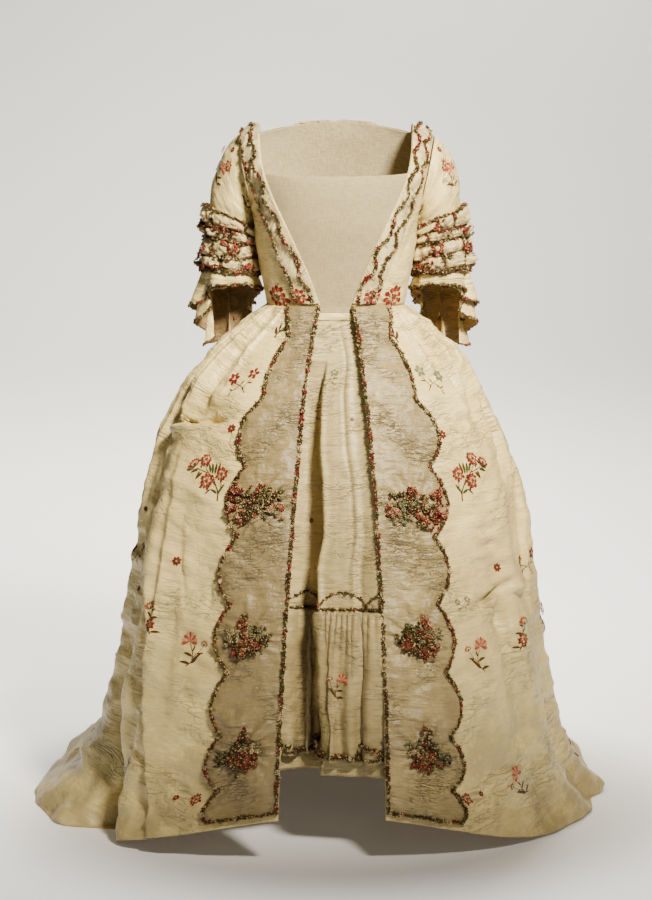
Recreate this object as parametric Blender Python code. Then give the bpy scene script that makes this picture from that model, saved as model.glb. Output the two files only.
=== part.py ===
"""Robe a la francaise: a sack-back gown over a matching petticoat, worn and standing open.

Metres, +Z up. The front faces -Y and the wearer's left is +X. Every size below is taken with
heights above the floor; the origin is the middle of the shoulder line, where the gown is held.
Each cloth piece is one sheet of points, rows running down and columns running across, that a
Solidify modifier turns into a wall. What is sewn on a panel is made from the panel's own points.
"""

import math
from typing import NamedTuple

import bpy
import numpy as np

# ---- driving sizes ------------------------------------------------------------------------
HOLD_HEIGHT = 1.318  # shoulder line above the floor
CLOTH = 0.0012  # silk with its linen lining, as one wall
LINEN = 0.0016  # the stomacher's layers
SEAM_GAP = 0.0005  # between two panels that are sewn edge to edge
LAYER_GAP = 0.0009  # between a panel and what is sewn on it
ROBING_GAP = 0.0015  # between a bodice front and its robing
RUCHE_GAP = 0.0027  # between a skirt front and its puffed-up robing
POSY_GAP = 0.0016
FLOOR_GAP = 0.0008  # between the floor and the cloth that trails on it
SQUARENESS = 2.4  # of the bodice's and petticoat's oval sections: 2 is an ellipse
SEAM_ANGLE = 140.0  # degrees from centre front to the side-back seam
ROBING_WIDTH = (0.038, 0.047, 0.042)  # turned-back band beside the bodice opening: strap, chest, waist
FIRST_CUSP, SCALLOP_PITCH = 0.07, 0.1163  # of the skirt robing, as shares of its length
SCALLOP_BULGE = 0.027
SKIRT_LENGTH = 0.93  # waist to front hem along the cloth
BRAID = 0.0030  # half the width of a floss braid
BODICE_WAVES = 8  # of each braid from the shoulder to the waist
WAIST = 0.985
STOMACHER_DIP = 0.004  # its top edge is lower in the middle
STOMACHER_FOOT = 0.962
BAND_TOP, BAND_FOOT = 0.9735, 0.9600  # petticoat waistband

CREAM = (0.78, 0.70, 0.53)
TRIM_CREAM = (0.66, 0.57, 0.40)
LINEN_TAN = (0.62, 0.55, 0.44)
BRAID_BROWN = (0.14, 0.10, 0.05)
FLOSS_RED = (0.42, 0.09, 0.07)


# ---- tables: one row for each section, top to bottom ----------------------------------------
class BodiceRow(NamedTuple):
    """A section of the bodice front, from the strap's back end to the waist."""

    at: float
    height: float  # at the opening's edge
    half_width: float
    front: float  # depth of the oval; below 0 it lies behind the shoulder
    back: float
    opening: float  # half the gap between the two front edges
    side_angle: float  # degrees to the piece's outer edge
    drop: float  # how much lower the outer edge is
    rise: float  # how much the last part climbs again, behind the arm


BODICE = (
    BodiceRow(0.00, 1.303, 0.196, -0.0640, 0.100, 0.1415, 63.5, 0.022, 0.0),
    BodiceRow(0.06, 1.316, 0.202, -0.0200, 0.100, 0.1410, 60.5, 0.023, 0.0),
    BodiceRow(0.12, 1.3165, 0.201, 0.0260, 0.100, 0.1408, 61.0, 0.023, 0.0),
    BodiceRow(0.20, 1.301, 0.196, 0.0740, 0.100, 0.1400, 62.5, 0.022, 0.0),
    BodiceRow(0.30, 1.268, 0.186, 0.1200, 0.100, 0.1375, 66.0, 0.014, 0.0),
    BodiceRow(0.41, 1.228, 0.176, 0.1490, 0.100, 0.1300, 69.5, 0.006, 0.0),
    BodiceRow(0.51, 1.191, 0.166, 0.1520, 0.100, 0.1170, 74.0, 0.000, 0.0),
    BodiceRow(0.59, 1.160, 0.1530, 0.1480, 0.096, 0.1030, 91.0, 0.003, 0.0),
    BodiceRow(0.65, 1.133, 0.1470, 0.1430, 0.094, 0.0900, 124.0, 0.0, 0.040),
    BodiceRow(0.74, 1.095, 0.1405, 0.1310, 0.092, 0.0720, 134.0, 0.0, 0.016),
    BodiceRow(0.85, 1.048, 0.1330, 0.1160, 0.089, 0.0510, 138.0, 0.0, 0.002),
    BodiceRow(1.00, WAIST, 0.1290, 0.1010, 0.087, 0.0275, SEAM_ANGLE, 0.0, 0.0),
)
ARMPIT_ROW = 8  # the first row of BODICE below the armhole
STOMACHER_ROW = 5  # the first row that the stomacher reaches


class SkirtRow(NamedTuple):
    """A section of the gown's skirt, from the waist to the hem and train."""

    at: float
    front_height: float
    side_height: float
    front: float  # centre front, in front of the middle of the body
    back: float  # depth behind the section's own centre
    centre: float  # how far the section's centre has moved back
    square: float  # squareness of the oval


SKIRT = (
    SkirtRow(0.00, 0.985, 0.985, 0.101, 0.087, 0.000, 2.40),
    SkirtRow(0.05, 0.945, 0.946, 0.128, 0.115, 0.000, 2.40),
    SkirtRow(0.11, 0.897, 0.893, 0.157, 0.147, 0.000, 2.40),
    SkirtRow(0.18, 0.836, 0.825, 0.189, 0.188, 0.001, 2.40),
    SkirtRow(0.26, 0.756, 0.741, 0.219, 0.237, 0.003, 2.40),
    SkirtRow(0.35, 0.661, 0.645, 0.247, 0.292, 0.007, 2.38),
    SkirtRow(0.45, 0.560, 0.541, 0.271, 0.352, 0.011, 2.34),
    SkirtRow(0.56, 0.450, 0.423, 0.294, 0.424, 0.022, 2.28),
    SkirtRow(0.68, 0.334, 0.295, 0.314, 0.517, 0.043, 2.20),
    SkirtRow(0.79, 0.235, 0.181, 0.330, 0.620, 0.076, 2.12),
    SkirtRow(0.90, 0.154, 0.078, 0.343, 0.733, 0.108, 2.05),
    SkirtRow(1.00, 0.096, 0.0045, 0.352, 0.870, 0.140, 2.00),
)
FRONT_HEM_ANGLE = 52.0  # degrees from centre front to where the hem reaches the floor


class SideRow(NamedTuple):
    """What differs between the two sides of the gown's skirt."""

    at: float
    half_width: float
    opening: float  # from the centre line to the front edge
    robing: float  # width of the robing at its cusps
    sweep: float  # how far the side is drawn back


LEFT_SIDE = (
    SideRow(0.00, 0.129, 0.0275, 0.060, 0.000),
    SideRow(0.05, 0.172, 0.0370, 0.056, 0.000),
    SideRow(0.11, 0.220, 0.0430, 0.070, 0.000),
    SideRow(0.18, 0.266, 0.0500, 0.090, 0.000),
    SideRow(0.26, 0.303, 0.0580, 0.102, 0.000),
    SideRow(0.35, 0.330, 0.0660, 0.106, 0.000),
    SideRow(0.45, 0.349, 0.0720, 0.103, 0.002),
    SideRow(0.56, 0.369, 0.0780, 0.103, 0.006),
    SideRow(0.68, 0.393, 0.0830, 0.113, 0.015),
    SideRow(0.79, 0.422, 0.0860, 0.117, 0.030),
    SideRow(0.90, 0.464, 0.0875, 0.119, 0.050),
    SideRow(1.00, 0.532, 0.0880, 0.120, 0.070),
)
RIGHT_SIDE = (
    SideRow(0.00, 0.129, 0.0275, 0.050, 0.000),
    SideRow(0.05, 0.176, 0.0375, 0.042, 0.000),
    SideRow(0.11, 0.231, 0.0450, 0.055, 0.000),
    SideRow(0.18, 0.282, 0.0540, 0.074, 0.000),
    SideRow(0.26, 0.320, 0.0610, 0.090, 0.000),
    SideRow(0.35, 0.345, 0.0690, 0.098, 0.000),
    SideRow(0.45, 0.363, 0.0770, 0.101, 0.000),
    SideRow(0.56, 0.384, 0.0850, 0.105, 0.000),
    SideRow(0.68, 0.413, 0.0920, 0.102, 0.000),
    SideRow(0.79, 0.450, 0.0980, 0.108, 0.004),
    SideRow(0.90, 0.508, 0.1010, 0.108, 0.012),
    SideRow(1.00, 0.596, 0.1030, 0.112, 0.024),
)


class SackRow(NamedTuple):
    """Centre back of the sack, from the neck to the end of the train."""

    at: float
    depth: float
    height: float
    open: float  # 0 where the pleats are stitched flat, 1 where they hang open
    swell: float  # how far the two opened pleats stand out


SACK = (
    SackRow(0.00, 0.088, 1.322, 0.00, 0.000),
    SackRow(0.06, 0.104, 1.270, 0.02, 0.000),
    SackRow(0.12, 0.124, 1.205, 0.08, 0.006),
    SackRow(0.20, 0.150, 1.110, 0.20, 0.018),
    SackRow(0.30, 0.180, 0.995, 0.38, 0.030),
    SackRow(0.40, 0.226, 0.852, 0.58, 0.040),
    SackRow(0.51, 0.298, 0.665, 0.78, 0.048),
    SackRow(0.62, 0.392, 0.480, 0.92, 0.052),
    SackRow(0.73, 0.518, 0.300, 1.00, 0.052),
    SackRow(0.84, 0.690, 0.130, 1.00, 0.044),
    SackRow(0.93, 0.880, 0.022, 1.00, 0.020),
    SackRow(1.00, 1.030, 0.0045, 1.00, 0.008),
)
SACK_ARMHOLE = 0.12  # where its edge leaves the armhole
SACK_WAIST = 0.30  # where its edge passes the waist


class PleatEdge(NamedTuple):
    """A fold edge of one half of the two box pleats, from the centre out."""

    across: float
    layer: int  # layers of cloth beneath it where the pleat is stitched flat
    crest: float  # share of the swell where the pleat hangs open


PLEATS = (
    PleatEdge(0.000, 0, 0.00),
    PleatEdge(0.024, 0, 0.03),
    PleatEdge(0.024, 1, 0.10),
    PleatEdge(0.004, 1, 0.24),
    PleatEdge(0.004, 2, 0.42),
    PleatEdge(0.032, 2, 0.62),
    PleatEdge(0.032, 3, 0.80),
    PleatEdge(0.012, 3, 0.93),
    PleatEdge(0.012, 4, 1.00),
    PleatEdge(0.068, 4, 0.98),
    PleatEdge(0.068, 3, 0.88),
    PleatEdge(0.048, 3, 0.72),
    PleatEdge(0.048, 2, 0.54),
    PleatEdge(0.078, 2, 0.36),
    PleatEdge(0.078, 1, 0.21),
    PleatEdge(0.058, 1, 0.10),
    PleatEdge(0.058, 0, 0.03),
    PleatEdge(0.112, 0, 0.00),
    PleatEdge(0.181, 0, 0.00),
)
PLEAT_STEP = 0.0026  # from one layer of a stitched pleat to the next


class Fold(NamedTuple):
    """A ridge of a panel, or a trough where its height is below 0."""

    across: float
    width: float
    height: float
    top: float
    foot: float
    slant: float  # how far it drifts across, from its top to its foot


LEFT_FOLDS = (
    Fold(0.330, 0.040, -0.010, 0.30, 1.05, 0.03),
    Fold(0.350, 0.030, -0.011, 0.01, 0.20, 0.02),
    Fold(0.410, 0.040, 0.012, 0.28, 1.05, 0.03),
    Fold(0.450, 0.050, 0.017, 0.02, 0.185, 0.06),
    Fold(0.480, 0.040, -0.019, 0.13, 0.27, -0.06),
    Fold(0.585, 0.036, 0.018, 0.08, 1.10, 0.01),
    Fold(0.670, 0.036, -0.022, 0.05, 1.05, 0.00),
    Fold(0.765, 0.038, 0.022, 0.02, 1.10, 0.00),
    Fold(0.865, 0.036, -0.020, 0.06, 1.10, 0.00),
)
RIGHT_FOLDS = (
    Fold(0.345, 0.030, -0.012, 0.01, 0.22, 0.03),
    Fold(0.395, 0.040, 0.015, 0.26, 1.10, 0.01),
    Fold(0.435, 0.040, 0.015, 0.00, 0.26, 0.02),
    Fold(0.470, 0.036, -0.019, 0.24, 1.10, 0.01),
    Fold(0.520, 0.038, -0.017, 0.02, 0.30, 0.02),
    Fold(0.600, 0.036, 0.017, 0.02, 0.95, 0.01),
    Fold(0.690, 0.038, -0.020, 0.06, 1.05, 0.00),
    Fold(0.790, 0.038, 0.022, 0.04, 1.10, 0.00),
    Fold(0.885, 0.036, -0.019, 0.06, 1.10, 0.00),
)


class SleeveRow(NamedTuple):
    """A ring of the sleeve, from the armhole to just above the elbow."""

    at: float
    out: float
    back: float
    height: float
    lean: float  # degrees: 90 faces the body, 0 hangs straight down
    reach: float  # radius across the arm
    depth: float  # radius from front to back


SLEEVE = (
    SleeveRow(0.00, 0.1690, -0.002, 1.2260, 78.0, 0.0710, 0.0600),
    SleeveRow(0.14, 0.1795, -0.002, 1.2110, 64.0, 0.0630, 0.0585),
    SleeveRow(0.30, 0.1885, -0.001, 1.1840, 46.0, 0.0520, 0.0545),
    SleeveRow(0.50, 0.1925, 0.003, 1.1430, 24.0, 0.0450, 0.0500),
    SleeveRow(0.75, 0.1935, 0.009, 1.0950, 10.0, 0.0425, 0.0480),
    SleeveRow(1.00, 0.1975, 0.018, 1.0350, 7.0, 0.0440, 0.0490),
)


class BandRow(NamedTuple):
    """A gathered band round the sleeve, as shares of the sleeve's length."""

    name: str
    top: float
    foot: float
    phase: float


PUFFS = (BandRow("upper", 0.47, 0.685, 0.4), BandRow("lower", 0.71, 0.93, 2.1))
PUFF_WAVES, PUFF_BULGE = 6, 0.019


class CuffRow(NamedTuple):
    """A falling flounce of the sleeve."""

    name: str
    fall: float  # in the bend of the arm
    extra: float  # more of it behind the elbow
    layer: int  # layers of cloth beneath its gathered edge
    flare: float


CUFFS = (CuffRow("lower", 0.030, 0.112, 1, 0.018), CuffRow("upper", 0.028, 0.066, 2, 0.032))
CUFF_WAVES, CUFF_TOP = 6, 0.955
LONGEST_TURN = math.radians(58)  # where a cuff flounce is longest: outside, towards the back


class PetticoatRow(NamedTuple):
    """A section of the petticoat, from its waistband to the hem."""

    at: float
    height: float
    half_width: float
    front: float
    back: float


PETTICOAT = (
    PetticoatRow(0.00, 0.9595, 0.1300, 0.1020, 0.088),
    PetticoatRow(0.04, 0.930, 0.1580, 0.1140, 0.104),
    PetticoatRow(0.11, 0.880, 0.2020, 0.1370, 0.131),
    PetticoatRow(0.21, 0.798, 0.2460, 0.1660, 0.165),
    PetticoatRow(0.33, 0.695, 0.2840, 0.1960, 0.200),
    PetticoatRow(0.48, 0.568, 0.3050, 0.2230, 0.230),
    PetticoatRow(0.63, 0.444, 0.3160, 0.2440, 0.255),
    PetticoatRow(0.82, 0.292, 0.3230, 0.2610, 0.275),
    PetticoatRow(1.00, 0.152, 0.3280, 0.2730, 0.290),
)
PETTICOAT_FOLDS = (
    Fold(-0.012, 0.010, 0.012, 0.06, 1.30, 0.004),
    Fold(-0.050, 0.018, -0.012, 0.10, 1.20, 0.0),
    Fold(0.026, 0.012, -0.006, 0.02, 0.60, 0.0),
    Fold(0.110, 0.026, 0.010, 0.05, 1.20, 0.0),
    Fold(-0.130, 0.026, 0.010, 0.05, 1.20, 0.0),
    Fold(0.200, 0.028, -0.012, 0.05, 1.20, 0.0),
    Fold(-0.210, 0.028, -0.012, 0.05, 1.20, 0.0),
)
FLOUNCE_TOP, FLOUNCE_FOOT = 0.635, 0.965  # shares of the petticoat's length
FLOUNCE_SPAN = 0.17  # share of the way round, each side of centre front
FLOUNCE_WAVES = 16
ARCH_PITCH, ARCH_HEIGHT = 0.034, 0.026  # of the small arches above the flounce


class PosyRow(NamedTuple):
    """A bunch of floss flowers on a skirt robing."""

    at: float
    across: float
    width: float
    height: float
    turn: float


POSIES = (
    PosyRow(0.363, 0.52, 0.090, 0.080, 0.3),
    PosyRow(0.590, 0.53, 0.078, 0.082, 1.4),
    PosyRow(0.800, 0.55, 0.074, 0.074, 2.2),
)
POSY_THICKNESS = 0.012


# ---- small mathematics ----------------------------------------------------------------------
def column(rows, name, at):
    """A named column of a table, read at `at` by a smooth curve through its rows."""
    keys = np.array([row.at for row in rows])
    values = np.array([getattr(row, name) for row in rows], float)
    slopes = np.gradient(values, keys)
    at = np.clip(at, keys[0], keys[-1])
    i = np.clip(np.searchsorted(keys, at) - 1, 0, len(keys) - 2)
    span = keys[i + 1] - keys[i]
    t = (at - keys[i]) / span
    start = values[i] * (1 + 2 * t) + slopes[i] * span * t
    end = values[i + 1] * (3 - 2 * t) - slopes[i + 1] * span * (1 - t)
    return start * (1 - t) ** 2 + end * t**2


def ease(t):
    """0 to 1 with a soft start and end."""
    t = np.clip(t, 0.0, 1.0)
    return t * t * (3 - 2 * t)


def oval(angle, half_width, front, back, square=SQUARENESS):
    """Plan point of a section, at an angle in radians from centre front."""
    power = 2 / square
    sine, cosine = np.sin(angle), np.cos(angle)
    depth = np.where(cosine > 0, front, back)
    x = half_width * np.sign(sine) * np.abs(sine) ** power
    y = -depth * np.sign(cosine) * np.abs(cosine) ** power
    return x, y


def angle_at(x, half_width, square=SQUARENESS):
    """The angle from centre front at which an oval section is x wide."""
    share = np.clip(x / half_width, 0.0, 1.0)
    return np.arcsin(share ** (square / 2))


def points_of(x, y, z):
    """One array of points from three arrays of coordinates."""
    return np.stack(np.broadcast_arrays(x, y, z), axis=-1).astype(float)


def unit(vectors):
    """The vectors at length 1."""
    return vectors / np.maximum(np.linalg.norm(vectors, axis=-1, keepdims=True), 1e-12)


def tightened(points, top=0.0, foot=0.0, start=0.0, end=0.0):
    """A sheet of points with its four edges drawn in by these distances."""
    points = points.copy()
    for axis, near, far in ((0, top, foot), (1, start, end)):
        moved = np.moveaxis(points, axis, 0)
        moved[0] += near * unit(moved[1] - moved[0])
        moved[-1] += far * unit(moved[-2] - moved[-1])
    return points


def fold_height(folds, at, across):
    """Summed ridges and troughs of a panel."""
    total = np.zeros(np.broadcast(at, across).shape)
    for fold in folds:
        share = np.clip((at - fold.top) / (fold.foot - fold.top), 0, 1)
        middle = fold.across + fold.slant * share
        shape = np.exp(-(((across - middle) / fold.width) ** 2))
        total += fold.height * shape * np.sin(math.pi * share) ** 0.6
    return total


class Panel:
    """A sheet of points, with where its rows and columns lie and which way is out."""

    def __init__(self, rows, columns, points, centre=None, closed=False):
        self.rows, self.columns = np.ravel(rows), np.ravel(columns)
        self.points, self.closed = points, closed
        self.centre = points * (0, 0, 1) if centre is None else centre
        wide = points
        if closed:
            wide = np.concatenate([points[:, -1:], points, points[:, :1]], axis=1)
        normal = unit(np.cross(np.gradient(wide, axis=1), np.gradient(wide, axis=0)))
        normal = normal[:, 1:-1] if closed else normal
        self.faces_out = np.sum(normal * (points - self.centre)) > 0
        self.normal = normal if self.faces_out else -normal

    def on(self, at, across, lift=0.0):
        """Points that lie on the panel's outer faces, moved out, and their normals."""
        at, across = np.broadcast_arrays(np.asarray(at, float), np.asarray(across, float))
        i = np.clip(np.searchsorted(self.rows, at, side="right") - 1, 0, len(self.rows) - 2)
        j = np.clip(
            np.searchsorted(self.columns, across, side="right") - 1, 0, len(self.columns) - 2
        )
        down = (at - self.rows[i]) / (self.rows[i + 1] - self.rows[i])
        along = (across - self.columns[j]) / (self.columns[j + 1] - self.columns[j])
        down, along = down[..., None], along[..., None]

        def read(field):
            near, beside = field[i, j], field[i, j + 1]
            below, far = field[i + 1, j], field[i + 1, j + 1]
            upper = near + along * (beside - near) + down * (far - beside)
            lower = near + down * (below - near) + along * (far - below)
            return np.where(along >= down, upper, lower)

        normal = unit(read(self.normal))
        return read(self.points) + normal * np.asarray(lift)[..., None], normal

    def mirrored(self, side):
        """The panel as it is, or its mirror image where side is -1."""
        flip = (side, 1, 1)
        return Panel(self.rows, self.columns, self.points * flip, self.centre * flip, self.closed)


# ---- Blender objects --------------------------------------------------------------------------
def material(name, colour, roughness):
    """A Principled material."""
    made = bpy.data.materials.new(name)
    made.use_nodes = True
    shader = made.node_tree.nodes["Principled BSDF"]
    shader.inputs["Base Color"].default_value = (*colour, 1)
    shader.inputs["Roughness"].default_value = roughness
    return made


def add_object(name, points, faces, finish):
    """A mesh object from points that are given with heights above the floor."""
    mesh = bpy.data.meshes.new(name)
    placed = np.array(points, float).reshape(-1, 3) - (0, 0, HOLD_HEIGHT)
    mesh.from_pydata(placed.tolist(), [], faces)
    mesh.materials.append(finish)
    mesh.shade_smooth()
    obj = bpy.data.objects.new(name, mesh)
    bpy.context.scene.collection.objects.link(obj)
    return obj


def add_solid(name, points, faces, finish):
    """A closed mesh object whose faces are turned outwards."""
    points = np.array(points, float).reshape(-1, 3)
    middle = points.mean(axis=0)
    volume = 0.0
    for face in faces:
        corners = points[list(face)] - middle
        for second, third in zip(corners[1:], corners[2:]):
            volume += np.dot(corners[0], np.cross(second, third))
    if volume < 0:
        faces = [face[::-1] for face in faces]
    return add_object(name, points, faces, finish)


def cloth(name, panel, finish, thickness=CLOTH):
    """A cloth piece: the panel is its outer side, and a Solidify modifier adds the wall."""
    rows, columns = panel.points.shape[:2]
    faces = []
    for r in range(rows - 1):
        for c in range(columns if panel.closed else columns - 1):
            a, b = r * columns + c, r * columns + (c + 1) % columns
            d, e = a + columns, b + columns
            faces += [(a, b, e), (a, e, d)]
    if not panel.faces_out:
        faces = [face[::-1] for face in faces]
    obj = add_object(name, panel.points, faces, finish)
    wall = obj.modifiers.new("wall", "SOLIDIFY")
    wall.thickness = thickness
    wall.offset = -1
    wall.use_even_offset = False
    return obj


def braid(name, path, normal, finish, closed=False):
    """Floss braid: a three-sided cord that lies flat along a path."""
    wide = np.concatenate([path[-1:], path, path[:1]]) if closed else path
    along = np.gradient(wide, axis=0)
    along = unit(along[1:-1] if closed else along)
    aside = BRAID * unit(np.cross(along, normal))
    corners = np.stack([path + aside, path + 1.5 * BRAID * normal, path - aside], axis=1)
    count = len(path)
    faces = []
    for r in range(count if closed else count - 1):
        after = (r + 1) % count
        for s in range(3):
            t = (s + 1) % 3
            faces.append((3 * r + s, 3 * r + t, 3 * after + t, 3 * after + s))
    if not closed:
        last = 3 * (count - 1)
        faces += [(2, 1, 0), (last, last + 1, last + 2)]
    return add_solid(name, corners, faces, finish)


# ---- bodice -------------------------------------------------------------------------------------
def bodice(at, across):
    """Points of the left bodice front: `at` runs down, `across` from the opening out."""
    half_width = column(BODICE, "half_width", at)
    start = angle_at(column(BODICE, "opening", at), half_width)
    end = np.radians(column(BODICE, "side_angle", at))
    angle = start + (end - start) * across
    x, y = oval(angle, half_width, column(BODICE, "front", at), column(BODICE, "back", at))
    z = column(BODICE, "height", at) - column(BODICE, "drop", at) * across
    return points_of(x, y, z + column(BODICE, "rise", at) * across**3)


BODICE_ROWS = np.array([row.at for row in BODICE])
BODICE_COLUMNS = np.linspace(0, 1, 9)


def bodice_panel():
    """The left bodice front, its seams drawn in."""
    points = bodice(BODICE_ROWS[:, None], BODICE_COLUMNS[None, :])
    half = SEAM_GAP / 2
    return Panel(BODICE_ROWS, BODICE_COLUMNS, tightened(points, half, half, 0.0, half))


def robing_share(at):
    """How far across the bodice front the robing reaches."""
    share = np.linspace(0, 1, 40)
    row = bodice(np.reshape(at, (-1, 1)), share[None, :])
    steps = np.linalg.norm(np.diff(row, axis=1), axis=2)
    length = np.concatenate([0 * steps[:, :1], np.cumsum(steps, axis=1)], axis=1)
    width = np.interp(at, (0, 0.5, 1), ROBING_WIDTH)
    return np.array([np.interp(wide, line, share) for wide, line in zip(width, length)])


def robing_panel(front):
    """The band turned back beside the bodice opening."""
    rows, columns = np.array([0.04, *BODICE_ROWS[1:-1], 0.985]), np.linspace(0, 1, 4)
    share = robing_share(rows)[:, None] * columns[None, :]
    points, _ = front.on(rows[:, None], share, ROBING_GAP + CLOTH)
    return Panel(rows, columns, points)


# ---- skirt of the gown ----------------------------------------------------------------------------
def side_name(side):
    """The wearer's side."""
    return "left" if side > 0 else "right"


def side_table(side):
    """The table of the wearer's left side, or of the right where side is -1."""
    return LEFT_SIDE if side > 0 else RIGHT_SIDE


def front_edge_angle(at, side, inset=0.0):
    """The angle of the skirt's front edge, or of a line that far outside it."""
    x = column(side_table(side), "opening", at) + inset
    return angle_at(x, column(side_table(side), "half_width", at), column(SKIRT, "square", at))


def skirt_smooth(at, across, side):
    """The left skirt panel, or the right one seen in a mirror, before its folds."""
    start = front_edge_angle(at, side)
    angle = start + (math.radians(SEAM_ANGLE) - start) * across
    centre = column(SKIRT, "centre", at)
    front, back = column(SKIRT, "front", at) + centre, column(SKIRT, "back", at)
    half_width = column(side_table(side), "half_width", at)
    x, y = oval(angle, half_width, front, back, column(SKIRT, "square", at))
    low, high = column(SKIRT, "front_height", at), column(SKIRT, "side_height", at)
    z = low + (high - low) * ease(angle / math.radians(FRONT_HEM_ANGLE))
    swept = column(side_table(side), "sweep", at) * np.sin(angle) ** 2
    return points_of(x, y + centre + swept, z)


SKIRT_ROWS = np.array([row.at for row in SKIRT])
SKIRT_COLUMNS = np.concatenate([np.linspace(0, 0.26, 5), np.linspace(0.3, 1.0, 20)])


def skirt_panel(side):
    """A gown skirt panel with its folds, its waist and side-back seams drawn in."""
    rows, columns = SKIRT_ROWS[:, None], SKIRT_COLUMNS[None, :]
    smooth = Panel(SKIRT_ROWS, SKIRT_COLUMNS, skirt_smooth(rows, columns, side))
    folds = fold_height(LEFT_FOLDS if side > 0 else RIGHT_FOLDS, rows, columns)
    points = smooth.points + smooth.normal * folds[..., None]
    points[..., 2] = np.maximum(points[..., 2], FLOOR_GAP + CLOTH)
    half = SEAM_GAP / 2
    return Panel(SKIRT_ROWS, SKIRT_COLUMNS, tightened(points, half, 0.0, 0.0, half))


def skirt_robing_width(at, side):
    """Width of a skirt robing, scallops included."""
    wave = np.abs(np.sin(math.pi * (at - FIRST_CUSP) / SCALLOP_PITCH)) ** 0.8
    return column(side_table(side), "robing", at) + SCALLOP_BULGE * wave


def skirt_robing_panel(skirt, side):
    """The wide ruched band down a skirt front: straight inside, scalloped outside."""
    rows = FIRST_CUSP + SCALLOP_PITCH / 6 * np.arange(-3, 48)
    columns = np.linspace(0, 1, 4)
    start = front_edge_angle(rows, side)
    end = front_edge_angle(rows, side, skirt_robing_width(rows, side))
    reach = (end - start) / (math.radians(SEAM_ANGLE) - start)
    points, _ = skirt.on(rows[:, None], reach[:, None] * columns[None, :], RUCHE_GAP + CLOTH)
    return Panel(rows, columns, points)


# ---- sack back --------------------------------------------------------------------------------------
SACK_ROWS = np.concatenate(
    [
        np.array([0, 0.05]),
        SACK_ARMHOLE
        + (SACK_WAIST - SACK_ARMHOLE) * (BODICE_ROWS[ARMPIT_ROW:-1] - BODICE_ROWS[ARMPIT_ROW])
        / (1 - BODICE_ROWS[ARMPIT_ROW]),
        SACK_WAIST + (1 - SACK_WAIST) * SKIRT_ROWS,
    ]
)


def sack_edge(at, side):
    """The sack's left edge: the armhole, then the bodice seam, then the skirt seam."""
    armpit = BODICE_ROWS[ARMPIT_ROW]
    top, foot = bodice(np.array([0.0, armpit]), 1.0)
    share = np.clip(at / SACK_ARMHOLE, 0, 1)[:, None]
    armhole = top + (foot - top) * share + np.array([0.004, 0.084, 0.0]) * share * (1 - share)
    down = np.clip((at - SACK_ARMHOLE) / (SACK_WAIST - SACK_ARMHOLE), 0, 1)
    seam = bodice(armpit + (1 - armpit) * down, 1.0)
    low = skirt_smooth(np.clip((at - SACK_WAIST) / (1 - SACK_WAIST), 0, 1), 1.0, side)
    edge = np.where((at < SACK_ARMHOLE)[:, None], armhole, seam)
    return np.where((at > SACK_WAIST)[:, None], low, edge)


def neck_line(x):
    """The back neckline, which goes on as the straps' back ends."""
    strap = bodice(0.0, BODICE_COLUMNS)
    inner, first = strap[0], SACK[0]
    share = np.clip(x / inner[0], 0, 1)
    y = first.depth + (inner[1] - first.depth) * share**2.2
    z = first.height + (inner[2] - first.height) * share**2
    on_strap = x > inner[0]
    y = np.where(on_strap, np.interp(x, strap[:, 0], strap[:, 1]), y)
    return points_of(x, y, np.where(on_strap, np.interp(x, strap[:, 0], strap[:, 2]), z))


def sack_base(at, across, side):
    """The sack without its pleats, on the left of centre back."""
    edge = sack_edge(np.ravel(at), side)[:, None, :]
    depth, height = column(SACK, "depth", at), column(SACK, "height", at)
    x = edge[..., 0] * across
    y = edge[..., 1] + (depth - edge[..., 1]) * (1 - np.abs(across) ** 2.5)
    z = edge[..., 2] + (height - edge[..., 2]) * (1 - across**2)
    base = points_of(x, y, z)
    near_neck = np.clip(1 - at / 0.08, 0, 1)[..., None]
    return base + (neck_line(x) - points_of(x, y, z)) * near_neck


def sack_half(side):
    """One half of the sack back, from centre back to the side-back seam."""
    rows = SACK_ROWS[:, None]
    opened, swell = column(SACK, "open", rows), column(SACK, "swell", rows)
    flat = np.array([edge.across for edge in PLEATS])[None, :] / PLEATS[-1].across
    spread = np.linspace(0, 1, len(PLEATS))[None, :]
    layer = np.array([edge.layer for edge in PLEATS])[None, :]
    crest = np.array([edge.crest for edge in PLEATS])[None, :]
    across = flat + (spread - flat) * opened
    smooth = Panel(SACK_ROWS, spread, sack_base(rows, spread, side))
    _, outward = smooth.on(rows, across)
    lift = PLEAT_STEP * layer * (1 - opened) + swell * crest
    return sack_base(rows, across, side) + outward * lift[..., None]


def sack_panel():
    """The whole sack back with its two stitched box pleats, and its train."""
    left, right = sack_half(1), sack_half(-1) * (-1, 1, 1)
    middle = (left[:, :1] + right[:, :1]) / 2
    points = np.concatenate([right[:, :0:-1], middle, left[:, 1:]], axis=1)
    points[..., 2] = np.maximum(points[..., 2], FLOOR_GAP + CLOTH)
    half = SEAM_GAP / 2
    columns = np.linspace(-1, 1, points.shape[1])
    return Panel(SACK_ROWS, columns, tightened(points, 2 * SEAM_GAP, 0.0, half, half))


# ---- sleeves ------------------------------------------------------------------------------------------
def ring(count):
    """Angles round a sleeve, 0 on its outer side."""
    return np.linspace(0, 2 * math.pi, count, endpoint=False)[None, :]


def sleeve(at, turn, out=0.0):
    """Points of the left sleeve, moved out from its cloth."""
    lean = np.radians(column(SLEEVE, "lean", at))
    wide = (column(SLEEVE, "reach", at) + out) * np.cos(turn)
    deep = (column(SLEEVE, "depth", at) + out) * np.sin(turn)
    x = column(SLEEVE, "out", at) + wide * np.cos(lean)
    z = column(SLEEVE, "height", at) + wide * np.sin(lean)
    return points_of(x, column(SLEEVE, "back", at) + deep, z)


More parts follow.
